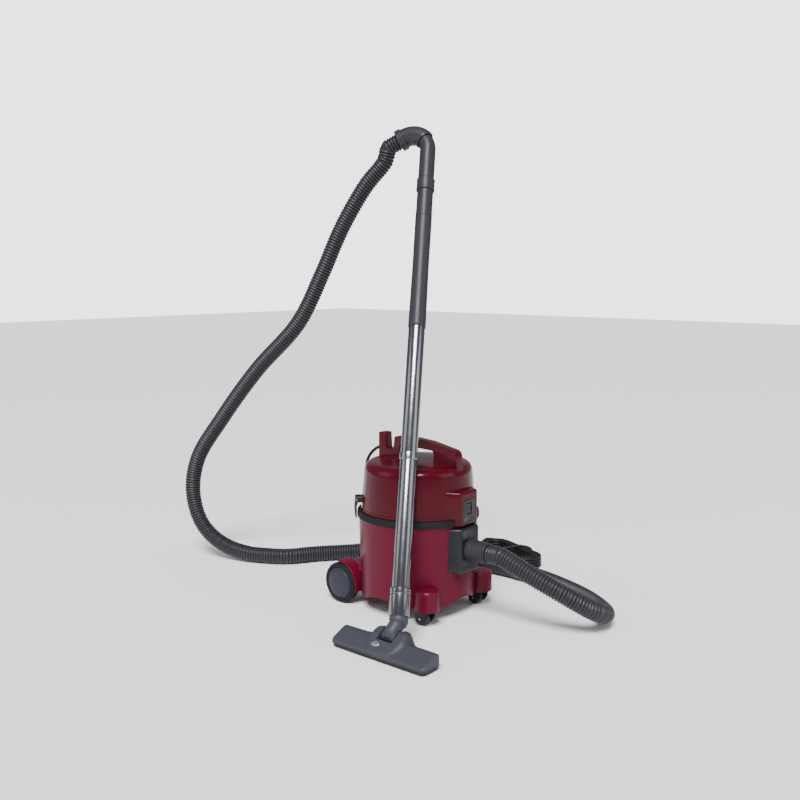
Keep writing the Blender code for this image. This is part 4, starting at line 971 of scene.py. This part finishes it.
class VACUUM_OT_tub(PieceOperator):
    """Tub with its skirt, arches, axle box and caster housings, the seal, inlet block and cuff"""

    bl_idname = "vacuum.tub"
    bl_label = "Tub"

    def build(self, sizes):
        profile = [(0.0, 0.0505), (0.1250, 0.0505), (0.1292, 0.2125), (0.1346, 0.2125), (0.1346, 0.2065),
                   (0.1322, 0.2040), (0.1280, 0.0340), (0.1265, 0.0320), (0.1250, 0.0320),
                   (0.1250, 0.0475), (0.0, 0.0475)]
        tub = lathe("tub", profile, segments=160, radius=0.0009, closed=False, steps=2)
        extras = [block("axle_box", (-0.086, 0.096, 0.034), (0.086, 0.160, 0.086), 0.010, 4)]
        for side, word in SIDES:
            extras.append(self.fender(side))
            extras.append(lathe(f"housing_{word}", [(0, 0.0795), (0.0235, 0.0790), (0.0262, 0.0755),
                                                    (0.0272, 0.0345), (0.0262, 0.0340), (0, 0.0340)],
                                (side * CASTER_X, CASTER_Y, 0), segments=72, radius=0.002, closed=False))
        joined(tub, extras, "UNION")
        arch_r, arch_z = (0.048 ** 2 + 0.0125 ** 2) / 0.025, 0.0445
        low = arch_z - arch_r
        cuts = [rod("axle_bore", (-0.12, AXLE_Y, WHEEL_R), (0.12, AXLE_Y, WHEEL_R), 0.0053, 32),
                rod("side_arches", (-0.15, 0.004, low), (0.15, 0.004, low), arch_r, 200),
                rod("front_arch", (0, -0.15, low), (0, -0.09, low), arch_r, 200),
                rod("inlet_hole", (0, -0.15, PORT_Z), (0, -0.10, PORT_Z), 0.0218, 64)]
        for side, word in SIDES:
            at = Vector((side * CASTER_X, CASTER_Y, 0))
            cuts.append(rod(f"fork_room_{word}", at + UP * 0.02, at + UP * 0.034, 0.028, 64))
            cuts.append(rod(f"stem_hole_{word}", at + UP * 0.03, at + UP * 0.062, 0.0053, 32))
            cuts.append(self.arch_line(side))
        joined(tub, cuts)
        softened(tub, 0.0011, 2, 42.0)
        settle(tub, "tub", "machine", "tank_shell", smooth=38.0)
        band = lathe("waist_band", [
            (0.1347, 0.2222), (0.1356, 0.2205), (0.1350, 0.2188), (0.1350, 0.2176),
            (0.1362, 0.2160), (0.1362, 0.2087), (0.1350, 0.2085), (0.1350, 0.2129),
            (0.1262, 0.2129), (0.1262, 0.2222)], segments=160, radius=0.0006, steps=2)
        settle(band, "rubber", "machine", "rim_seal")
        self.inlet()

    def fender(self, side):
        """Arch over the front and top of a rear wheel."""
        arch = rod(f"arch_{side}", (0.078, AXLE_Y, WHEEL_R), (0.1098, AXLE_Y, WHEEL_R), 0.0518, 96,
                   edge=0.0010)
        joined(arch, [rod("well", (0.087, AXLE_Y, WHEEL_R), (0.13, AXLE_Y, WHEEL_R), 0.0496, 96),
                      block("end", (-0.13, AXLE_Y + 0.006, -0.02), (0.13, 0.22, 0.12)),
                      block("foot", (-0.13, 0.05, -0.02), (0.13, 0.22, 0.0335))])
        if side < 0:
            arch.data.transform(Matrix.Scale(-1, 4, (1, 0, 0)))
            arch.data.flip_normals()
        return arch

    def arch_line(self, side):
        """Shallow moulded line over a caster housing."""
        at = Vector((side * CASTER_X, CASTER_Y, 0))
        return lathe("arch_line", [(0.0285, 0.0712), (0.0285, 0.0700), (0.0264, 0.0700), (0.0264, 0.0712)],
                     at, segments=72)

    def inlet(self):
        block_ = splayed("inlet", (0.0300, -PORT_FRONT), (0.0541, -0.1100), (0.1040, 0.2035), 0.0050)
        wedge = block("inlet_wedge", (-0.05, -0.20, 0.06), (0.05, -0.128, 0.104))
        wedge.data.transform(Matrix.Translation((0, -PORT_FRONT, 0.112))
                             @ Matrix.Rotation(math.radians(24), 4, "X")
                             @ Matrix.Translation((0, PORT_FRONT, -0.112)))
        back = rod("inlet_back", (0, 0, 0.03), (0, 0, 0.2125), 0.1283, 160, tip=0.1328)
        panel = block("inlet_panel", (-0.0255, -0.150, 0.178), (0.0255, -PORT_FRONT + 0.0010, 0.1995),
                      0.002, 2)
        collar = lathe("inlet_collar", [
            (0.0262, 0.002), (0.0262, -0.002), (0.0252, -0.002), (0.0252, 0.002)],
            (0, -PORT_FRONT, PORT_Z), (0, -1, 0), 96)
        joined(block_, [wedge, back, panel, collar])
        joined(block_, [rod("stub", (0, -0.140, PORT_Z), (0, -0.115, PORT_Z), 0.0214, 64)], "UNION")
        joined(block_, [rod("bore", (0, -0.16, PORT_Z), (0, -0.10, PORT_Z), 0.0200, 64)])
        softened(block_, 0.0007, 2, 42.0)
        block_.name = "inlet_housing"
        settle(block_, "black", "machine", "inlet_block")
        cuff = lathe("hose_cuff", [
            (0.0170, 0.0695), (0.0225, 0.0695), (0.0230, 0.0675), (0.0217, 0.0655), (0.0226, 0.0600),
            (0.0234, 0.0330), (0.0240, 0.0300), (0.0240, 0.0203), (0.0197, 0.0200), (0.0197, 0.0),
            (0.0170, 0.0)], (0, -PORT_FRONT + 0.0200, PORT_Z), (0, -1, 0), 96, 0.0010, steps=3)
        settle(cuff, "handle", "inlet_cuff", "hose_inlet_cuff")


class VACUUM_OT_running_gear(PieceOperator):
    """Rear wheels on their axle and the front casters"""

    bl_idname = "vacuum.running_gear"
    bl_label = "Running gear"

    def build(self, sizes):
        painted("rear_axle", "axle")
        for side, word in SIDES:
            self.wheel(side, word)
            self.caster(side, word)

    def wheel(self, side, word):
        centre, out = (side * 0.0885, AXLE_Y, WHEEL_R), (side, 0, 0)
        hub = lathe(f"wheel_disc_{word}", [
            (0.0, 0.0264), (0.0120, 0.0261), (0.0240, 0.0250), (0.0300, 0.0236), (0.0312, 0.0224),
            (0.0322, 0.0224), (0.0334, 0.0230), (0.0345, 0.0222), (0.0345, 0.0040), (0.0300, 0.0040),
            (0.0280, 0.0140), (0.0120, 0.0140), (0.0120, 0.0004), (0.0053, 0.0004), (0.0053, 0.0215),
            (0.0, 0.0215)], centre, out, 96, 0.0008, closed=False, steps=2)
        settle(hub, "hub", f"rear_wheel_{word}", f"wheel_hub_{word}")
        tyre = lathe(f"tread_{word}", [
            (0.0348, 0.0220), (0.0362, 0.0232), (0.0405, 0.0230), (0.0440, 0.0208), (0.0457, 0.0180),
            (0.0460, 0.0150), (0.0460, 0.0120), (0.0452, 0.0118), (0.0452, 0.0112), (0.0460, 0.0110),
            (0.0460, 0.0080), (0.0455, 0.0050), (0.0440, 0.0025), (0.0400, 0.0005), (0.0348, 0.0015)],
            centre, out, 112, 0.0006, steps=2)
        settle(tyre, "rubber", f"rear_wheel_{word}", f"tyre_{word}")

    def caster(self, side, word):
        at = Vector((side * CASTER_X, CASTER_Y, 0))
        trail = Vector((0, CASTER_TRAIL, 0))
        fork = lathe(f"fork_{word}", [(0, 0.0600), (0.0044, 0.0600), (0.0050, 0.0590), (0.0050, 0.0336),
                                      (0.0140, 0.0336), (0.0150, 0.0328), (0.0150, 0.0302), (0, 0.0302)],
                     at, segments=64, radius=0.0006, closed=False, steps=2)
        side_view = eased([(-0.0140, 0.0322), (0.0215, 0.0322), (0.0238, 0.0190), (0.0215, 0.0055),
                           (0.0080, 0.0040), (-0.0050, 0.0075), (-0.0135, 0.0200)], 0.0060, True)
        cheeks = []
        for cheek in (-1, 1):
            stand = Matrix.Translation(at + Vector((cheek * 0.0110, 0, 0))) @ SIDE_ON
            cheeks.append(slab(f"cheek_{cheek}", side_view, 0.0016, stand, 0.0007, 2))
        joined(fork, cheeks, "UNION")
        pin = at + trail + UP * CASTER_R
        joined(fork, [crossing("pin_hole", pin, Vector((0.02, 0, 0)), 0.0028, 32)])
        settle(fork, "black", f"caster_{word}", f"caster_fork_{word}")
        pin_piece = crossing(f"roller_pin_{word}", pin, Vector((0.0134, 0, 0)), 0.0025, 32, edge=0.0008)
        settle(pin_piece, "axle", f"caster_{word}", f"caster_pin_{word}")
        roller = lathe(f"roller_{word}", [
            (0.0028, 0.0086), (0.0070, 0.0086), (0.0078, 0.0078), (0.0102, 0.0078), (0.0110, 0.0088),
            (0.0130, 0.0086), (0.0145, 0.0068), (0.0145, 0.0012), (0.0137, 0.0008), (0.0137, -0.0008),
            (0.0145, -0.0012), (0.0145, -0.0068), (0.0130, -0.0086), (0.0110, -0.0088), (0.0102, -0.0078),
            (0.0078, -0.0078), (0.0070, -0.0086), (0.0028, -0.0086)], pin, (1, 0, 0), 72, 0.0006, steps=2)
        settle(roller, "gloss_black", f"caster_roller_{word}", f"caster_wheel_{word}")


class VACUUM_OT_head(PieceOperator):
    """Domed cover, handle, switch and latches"""

    bl_idname = "vacuum.head"
    bl_label = "Head"

    def build(self, sizes):
        outer = eased(head_profile(), 0.024, False, 10)
        lip = [(0.1284, 0.2285), (0.1284, HEAD_BOTTOM)]
        side = Vector(outer[-1])
        outer = outer[:-1] + [Vector((side.x - 0.0004, 0.2292)), *map(Vector, lip)]
        inner = eased(head_profile(0.003), 0.021, False, 8)[::-1]
        cover = lathe("head_dome", [*outer, *inner], segments=160, closed=False)
        seat, facing = gland_seat()
        joined(cover, [block("exhaust", (-0.036, 0.100, 0.250), (0.036, 0.140, 0.286), 0.003, 2),
                       block("switch", (-0.020, -0.140, 0.228), (0.020, -0.108, 0.262)),
                       rod("gland", seat - facing * 0.012, seat + facing * 0.012, 0.0062, 32)])
        settle(cover, "head", "head", "head_cover", smooth=30.0)
        self.handle()
        self.switch()
        for side, word in SIDES:
            self.latch(side, word)
        painted("exhaust_grille", "black")

    def handle(self):
        corners = [(-0.1180, 0.2960, 0), (-0.0520, 0.2960, 0), (-0.0520, 0.3590, 0.008),
                   (0.0460, 0.3620, 0.008), (0.0460, 0.2960, 0), (0.1090, 0.2960, 0),
                   (0.1090, 0.3850, 0.004), (0.0890, 0.3850, 0.003), (0.0865, 0.3500, 0.001),
                   (0.0651, 0.3500, 0.001), (0.0616, 0.3790, 0.006), (0.0400, 0.3815, 0.02),
                   (0.0, 0.3810, 0.03), (-0.0400, 0.3780, 0.03), (-0.1150, 0.3640, 0.018)]
        handle = slab("carrying_handle", rounded(corners), 0.0110, SIDE_ON, 0.0036, 4)
        joined(handle, [head_core(0.0012)])
        settle(handle, "head", "head", "carry_handle", smooth=40.0)

    def switch(self):
        housing = splayed("switch_box", (0.0290, -0.1430), (0.0531, -0.1000), (0.2066, 0.2820), 0.0046)
        slope = block("slope", (-0.05, -0.17, 0.282), (0.05, -0.09, 0.31))
        lean = Matrix.Rotation(math.radians(9), 4, "X")
        slope.data.transform(Matrix.Translation((0, -0.143, 0.279)) @ lean
                             @ Matrix.Translation((0, 0.143, -0.279)))
        joined(housing, [slope, head_core(0.0010),
                         rod("skirt", (0, 0, 0.19), (0, 0, HEAD_BOTTOM + 0.001), 0.1371, 160),
                         block("recess", (-0.0203, -0.150, 0.2107), (0.0203, -0.1395, 0.2643), 0.0008, 2),
                         block("cavity", (-0.018, -0.141, 0.230), (0.018, -0.110, 0.260))])
        settle(housing, "head", "head", "switch_housing", smooth=40.0)
        panel = block("switch_plate", (-0.0200, -0.1430, 0.2110), (0.0200, -0.1398, 0.2640), 0.0010, 3)
        joined(panel, [block("window", (-0.0086, -0.15, ROCKER_Z - 0.0124),
                             (0.0086, -0.13, ROCKER_Z + 0.0124), 0.0006, 2),
                       block("label_recess", (-0.0150, -0.15, 0.2150), (0.0150, -0.1426, 0.2255),
                             0.0006, 2)])
        settle(panel, "gloss_black", "head", "switch_panel", smooth=40.0)
        loop = [(-0.1338, ROCKER_Z - 0.0108), (-0.1425, ROCKER_Z - 0.0108), (-0.1416, ROCKER_Z - 0.0030),
                (-0.1416, ROCKER_Z + 0.0030), (-0.1430, ROCKER_Z + 0.0108), (-0.1338, ROCKER_Z + 0.0108)]
        rocker = slab("rocker_key", eased(loop, 0.0010, True), 0.0079, SIDE_ON, 0.0006, 2)
        settle(rocker, "hub", "rocker", "switch_rocker", smooth=40.0)

    def latch(self, side, word):
        turn = Matrix.Rotation(math.atan2(math.sin(LATCH_TURN), side * math.cos(LATCH_TURN)), 4, "Z")
        stand = turn @ Matrix.Translation((LATCH_HINGE_R, 0, LATCH_HINGE_Z)) @ Matrix(
            ((1, 0, 0, 0), (0, 0, -1, 0), (0, 1, 0, 0), (0, 0, 0, 1)))
        loop = [(-0.0028, 0.0040), (0.0012, 0.0045), (0.0036, -0.0020), (0.0046, -0.0120),
                (0.0048, -0.0230), (0.0040, -0.0340), (0.0018, -0.0420), (-0.0008, -0.0420),
                (-0.0008, -0.0125), (-0.0028, -0.0110)]
        lever = slab(f"latch_lever_{word}", eased(loop, 0.0022, True), 0.0084, stand, 0.0012, 3)
        eye = rod("eye", stand @ Vector((0, 0, -0.02)), stand @ Vector((0, 0, 0.02)), 0.0019, 24)
        joined(lever, [eye])
        settle(lever, "gloss_black", f"latch_lever_{word}", f"latch_{word}", smooth=40.0)
        bracket = block(f"latch_mount_{word}", (0.118, -0.0130, LATCH_HINGE_Z - 0.0060),
                        (LATCH_HINGE_R + 0.0032, 0.0130, LATCH_HINGE_Z + 0.0080), 0.0028, 4)
        slot = block("slot", (LATCH_HINGE_R - 0.0078, -0.0091, 0.22), (0.16, 0.0091, 0.27))
        pin = Vector((LATCH_HINGE_R, 0, LATCH_HINGE_Z))
        eye = crossing("eye", pin, Vector((0, 0.02, 0)), 0.0017, 24)
        joined(bracket, [slot, eye, head_core(0.0010)])
        bracket.data.transform(turn)
        settle(bracket, "black", "head", f"latch_bracket_{word}", smooth=40.0)
        painted(f"latch_pin_{word}", "steel")


class VACUUM_OT_motor(PieceOperator):
    """Finishes of the motor, the filter and their plate, and the screws of the plate"""

    bl_idname = "vacuum.motor"
    bl_label = "Motor and filter"

    def build(self, sizes):
        for finish, nodes in {
                "steel": ("fan_housing", "fan_impeller", "motor_shaft"),
                "copper": ("motor_field", "motor_armature"),
                "black": ("motor_plate", "motor_end_cap", "filter_cage"),
                "rubber": ("motor_gasket",), "pale": ("filter_ring",)}.items():
            for node in nodes:
                painted(node, finish)
        top, low = 0.2147, 0.1030
        folds = 36
        bag = lathe("filter_bag", [
            (0.0, low + 0.002), (0.070, low + 0.002), (0.0836, low + 0.016), (0.0878, top), (0.1000, top),
            (0.1000, top - 0.002), (0.0908, top - 0.002), (0.0866, low + 0.015), (0.0720, low), (0.0, low)],
            segments=folds * 6, radius=0.006, closed=False)
        for vertex in bag.data.vertices:
            x, y, z = vertex.co
            reach = math.hypot(x, y)
            if 0.060 < reach < 0.0925 and z < top - 0.004:
                pleat = 1 + 0.010 * math.cos(folds * math.atan2(y, x)) * min(1.0, (top - z) / 0.03)
                vertex.co.x, vertex.co.y = x * pleat, y * pleat
        settle(bag, "cloth", "head", "filter_cloth", smooth=60.0)
        head = lathe("screw", [(0, 0.0016), (0.0026, 0.0013), (0.0034, 0.0003), (0.0034, 0.0), (0, 0.0)],
                     axis=(0, 0, -1), segments=24, closed=False)
        cross = [block("slot_a", (-0.0022, -0.0004, -0.003), (0.0022, 0.0004, -0.0008)),
                 block("slot_b", (-0.0004, -0.0022, -0.003), (0.0004, 0.0022, -0.0008))]
        joined(head, cross)
        tree = ring_tree("Screw circle", "steel")
        screws = tree.grown_on(head, count=sizes.screw_count, circle_radius=0.0760, height=0.2231)
        screws.name = "plate_screws"
        settle(screws, "steel", "head")


class VACUUM_OT_wand(PieceOperator):
    """Neck sleeve, chrome tubes, grip tube, bent handle and hose fittings"""

    bl_idname = "vacuum.wand"
    bl_label = "Wand"

    def turned(self, name, profile, finish, body, node, edge=0.0008, segments=96):
        piece = lathe(name, profile, WAND_FOOT, WAND_AXIS, segments, edge, steps=3)
        return settle(piece, finish, body, node)

    def build(self, sizes):
        tube = sizes.tube_radius
        bore = tube - 0.0012
        self.turned("sleeve", [
            (tube + 0.0022, 0.0550), (tube + 0.0030, 0.0530), (tube + 0.0030, 0.0440),
            (tube + 0.0022, 0.0430), (tube + 0.0030, 0.0410), (tube + 0.0030, 0.0),
            (tube + 0.0003, 0.0), (tube + 0.0003, 0.0550)],
            "chrome", "wand", "neck_sleeve", 0.0005)
        self.turned("tube_lower", [(tube, 0.3227), (tube, 0.0040), (bore, 0.0040), (bore, 0.3227)],
                    "chrome", "wand", "lower_tube", 0.0003)
        self.turned("tube_upper", [(tube, 0.6380), (tube, 0.3230), (bore, 0.3230), (bore, 0.6380)],
                    "chrome", "wand", "upper_tube", 0.0003)
        self.turned("collar", [
            (tube + 0.0016, 0.3310), (tube + 0.0016, 0.3180), (tube + 0.0009, 0.3160),
            (tube + 0.0003, 0.3150), (tube + 0.0003, 0.3310)], "chrome", "wand", "tube_collar", 0.0004)
        self.turned("grip", [
            (0.0186, 0.8710), (0.0186, 0.8600), (0.0181, 0.7600), (0.0191, 0.6180), (0.0194, 0.6130),
            (0.0187, 0.6090), (0.0182, 0.6080), (0.0182, 0.6385), (0.0150, 0.6385), (0.0150, 0.8710)],
            "handle", "wand", "grip_tube", 0.0006)
        self.bend_piece()
        self.turned("regulator", [
            (0.0200, 0.9635), (0.0206, 0.9620), (0.0206, 0.9580), (0.0201, 0.9570), (0.0201, 0.9420),
            (0.0206, 0.9410), (0.0206, 0.9365), (0.0200, 0.9350), (0.0184, 0.9350), (0.0184, 0.9635)],
            "handle", "regulator", "air_regulator", 0.0005)
        self.elbow()

    def bend_piece(self):
        stops = [0.8713, 0.8760, 0.8800, 0.90, 0.93, 0.96, 0.99, 1.015]
        points = [along(s) for s in stops] + [bend(math.radians(50.0) * n / 12)[0] for n in range(13)]
        radii = [0.0184, 0.0184, 0.0181] + [0.0180] * (len(points) - 3)
        handle = swept("handle_tube", points, radii, 72, bore=0.0150)
        settle(handle, "handle", "wand", "handle_bend", smooth=40.0)

    def elbow(self):
        start = math.radians(36.0)
        stops = [start + (BEND_ANGLE - start) * n / 24 for n in range(25)]
        points = [bend(a)[0] for a in stops]
        place, facing = bend(BEND_ANGLE)
        points += [place + facing * 0.004, place + facing * 0.008, place + facing * 0.012]
        radii = [0.0212, 0.0222, 0.0225] + [0.0222] * (len(points) - 3)
        elbow = swept("elbow", points, radii, 72, bore=0.0194)
        settle(elbow, "handle", "wand", "hose_elbow", smooth=40.0)
        ring = lathe("swivel_ring", [
            (0.0246, 0.0), (0.0258, -0.0018), (0.0258, -0.0050), (0.0250, -0.0058), (0.0250, -0.0078),
            (0.0258, -0.0086), (0.0258, -0.0122), (0.0246, -0.0140), (0.0229, -0.0140), (0.0229, 0.0)],
            points[-1], facing, 96, 0.0006, steps=3)
        settle(ring, "handle", "hose_swivel", "hose_nut")


class VACUUM_OT_floor_tool(PieceOperator):
    """Floor tool with its bristles, badge, sole and neck"""

    bl_idname = "vacuum.floor_tool"
    bl_label = "Floor tool"

    def plan(self, inset):
        """Outline of the tool seen from above, about its middle line."""
        front, rear, half = TOOL_FRONT_X + inset, TOOL_REAR_X - inset, TOOL_HALF - inset
        side = [(front, half, 0.010), (rear - 0.024, half - 0.002, 0.010),
                (rear - 0.004, half - 0.045, 0.020)]
        loop = rounded(side + [(x, -y, radius) for x, y, radius in side[::-1]], 6)
        loop = np.array([(x, y + TOOL_Y, 0.0) for x, y in loop + loop[:1]])
        return resampled(loop, 0.003)[:-1, :2]

    def build(self, sizes):
        self.shell()
        self.badge()
        self.sole(sizes)
        self.neck()

    def roof(self, x, y):
        """Height of the top: two slopes that meet in a ridge, and the hump over the neck."""
        def between(x0, z0, x1, z1):
            return z0 + (z1 - z0) * (x - x0) / (x1 - x0)

        def higher(a, b, soft):
            return (a + b + math.hypot(a - b, soft)) / 2

        low = -higher(-between(TOOL_FRONT_X, TOOL_LIP, *TOOL_RIDGE),
                      -between(TOOL_REAR_X, TOOL_BACK, *TOOL_RIDGE), 0.004)
        brow = between(TOOL_FRONT_X, TOOL_LIP + 0.002, HUMP_X + 0.004, HUMP_TOP)
        crest = -higher(-brow, -(HUMP_TOP - 0.25 * (x - HUMP_X - 0.004)), 0.004)
        away = math.hypot(x - HUMP_X, y - TOOL_Y)
        hump = -higher(-crest, -(0.0360 + (0.0440 - away) * 2.6), 0.006)
        return higher(low, hump, 0.004)

    def shell(self):
        loop, edge, across = self.plan(0.0), 0.0032, Vector((0, 1, 0))
        spine_x = (TOOL_FRONT_X + TOOL_REAR_X) / 2
        walls = [(1.0, 0.0087), (1.0, 0.0098), (0.98, 0.0100), (0.98, 0.0106), (1.0, 0.0108)]
        turns = [(1 - 0.085 * (1 - math.cos(a)), edge * (math.sin(a) - 1))
                 for a in np.linspace(0.0, math.pi / 2, 7)]
        tops = turns + [(t, 0.0) for t in np.linspace(0.88, 0.04, 22)]
        verts, faces, count = [], [], len(loop)
        for share, z in walls + tops:
            for x, y in loop:
                mid = Vector((spine_x, max(-0.088, min(0.088, y - TOOL_Y)) + TOOL_Y))
                spot = mid.lerp(Vector((x, y)), share)
                verts.append((spot.x, spot.y, z if z > 0.005 else self.roof(spot.x, spot.y) + z))
        rings = len(verts) // count
        for n in range(rings - 1):
            for k in range(count):
                m = (k + 1) % count
                faces.append((n * count + k, n * count + m, (n + 1) * count + m, (n + 1) * count + k))
        faces.append(list(range(count))[::-1])
        faces.append(list(range((rings - 1) * count, rings * count)))
        shell = outwards(from_mesh("tool_body", verts, faces))
        joined(shell, [
            block("chamber", (-0.3000, TOOL_Y - 0.098, 0.0), (-0.2520, TOOL_Y + 0.098, 0.0190)),
            block("neck_slot", (-0.2870, TOOL_Y - 0.0195, 0.0150), (-0.2200, TOOL_Y + 0.0195, 0.0600)),
            crossing("pin_hole", NECK_PIVOT, across * 0.03, 0.0030, 32)])
        settle(shell, "tool", "floor_tool", "tool_shell", smooth=44.0)

    def badge(self):
        """Blank oval plate on the slope of the hump."""
        centre_x, centre_y, half_x, half_y, count = -0.2960, TOOL_Y + 0.014, 0.0048, 0.0100, 40
        rings = ((0.0, 0.0008), (0.5, 0.0008), (0.9, 0.0007), (1.0, 0.0001), (1.0, -0.0012))
        verts, faces = [], []
        for share, lift in rings:
            for k in range(count):
                turn = 2 * math.pi * k / count
                x = centre_x + half_x * share * math.cos(turn)
                y = centre_y + half_y * share * math.sin(turn)
                verts.append((x, y, self.roof(x, y) + lift))
        for n in range(len(rings) - 1):
            faces += [(n * count + k, n * count + (k + 1) % count, (n + 1) * count + (k + 1) % count,
                       (n + 1) * count + k) for k in range(count)]
        faces.append([len(verts) - count + k for k in range(count)][::-1])
        plate = outwards(from_mesh("blank_badge", verts, faces))
        settle(plate, "steel", "floor_tool", smooth=50.0)

    def sole(self, sizes):
        painted("sole_plate", "sole")
        tree = bristle_tree()
        for word, x in (("front", -0.3020), ("rear", -0.2560)):
            ends = (TOOL_Y - 0.0812, TOOL_Y + 0.0812)
            rows = [(x + dx, y, 0.0059) for dx in (-0.0014, 0.0, 0.0014) for y in ends]
            mesh = bpy.data.meshes.new("rows")
            mesh.from_pydata(rows, [(0, 1), (2, 3), (4, 5)], [])
            line = bpy.data.objects.new(f"bristles_{word}", mesh)
            bpy.context.scene.collection.objects.link(line)
            tree.grown_on(line, spacing=sizes.bristle_spacing, length=0.0056)
            backing = block("backing", (x - 0.0019, TOOL_Y - 0.0818, 0.0040),
                            (x + 0.0019, TOOL_Y + 0.0818, 0.0058), 0.0003, 1)
            shape = bmesh.new()
            shape.from_mesh(line.data)
            shape.from_mesh(backing.data)
            shape.to_mesh(line.data)
            shape.free()
            bpy.data.objects.remove(backing, do_unlink=True)
            settle(line, "bristle", "floor_tool", f"bristle_strip_{word}", smooth=50.0)
        painted("neck_pin", "steel")

    def neck(self):
        top, across = along(-0.0003), Vector((0, 1, 0))
        route = [NECK_PIVOT, NECK_PIVOT + Vector((0.0030, 0.0, 0.0100)), top - WAND_AXIS * 0.0100, top]
        points = [Vector(p) for p in smooth_route(route, 0.003)]
        radii = [0.0160] * len(points)
        radii[-5:] = [0.0160, 0.0172, 0.0192, 0.0196, 0.0190]
        elbow = swept("neck", points, radii, 64)
        knuckle = crossing("knuckle", NECK_PIVOT, across * 0.0160, 0.0125, 64, edge=0.0010)
        spigot = rod("spigot", along(-0.004), along(0.0035), 0.0150, 64)
        joined(elbow, [knuckle, spigot], "UNION")
        joined(elbow, [crossing("pin_bore", NECK_PIVOT, across * 0.05, 0.0030, 32)])
        softened(elbow, 0.0008, 2, 48.0)
        settle(elbow, "tool", "neck", "neck_elbow", smooth=44.0)


OPERATORS = (VACUUM_OT_stage, VACUUM_OT_hose, VACUUM_OT_lead, VACUUM_OT_tub, VACUUM_OT_running_gear,
             VACUUM_OT_head, VACUUM_OT_motor, VACUUM_OT_wand, VACUUM_OT_floor_tool)


class VACUUM_PT_pieces(bpy.types.Panel):
    """The pieces, sizes and colours"""

    bl_idname = "VACUUM_PT_pieces"
    bl_label = "Tub vacuum"
    bl_space_type = "VIEW_3D"
    bl_region_type = "UI"
    bl_category = "Tub vacuum"

    def draw(self, context):
        for group in (context.scene.vacuum_sizes, context.scene.vacuum_colours):
            for name in group.__annotations__:
                self.layout.prop(group, name)
        for made in OPERATORS:
            self.layout.operator(made.bl_idname)


CLASSES = (VacuumSizes, VacuumColours, *OPERATORS, VACUUM_PT_pieces)


def register():
    for made in CLASSES:
        bpy.utils.register_class(made)
    bpy.types.Scene.vacuum_sizes = bpy.props.PointerProperty(type=VacuumSizes)
    bpy.types.Scene.vacuum_colours = bpy.props.PointerProperty(type=VacuumColours)


def unregister():
    del bpy.types.Scene.vacuum_sizes, bpy.types.Scene.vacuum_colours
    for made in reversed(CLASSES):
        bpy.utils.unregister_class(made)


def main():
    """Register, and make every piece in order."""
    register()
    make_finishes()
    for made in OPERATORS:
        group, name = made.bl_idname.split(".")
        getattr(getattr(bpy.ops, group), name)()


if __name__ == "__main__":
    main()
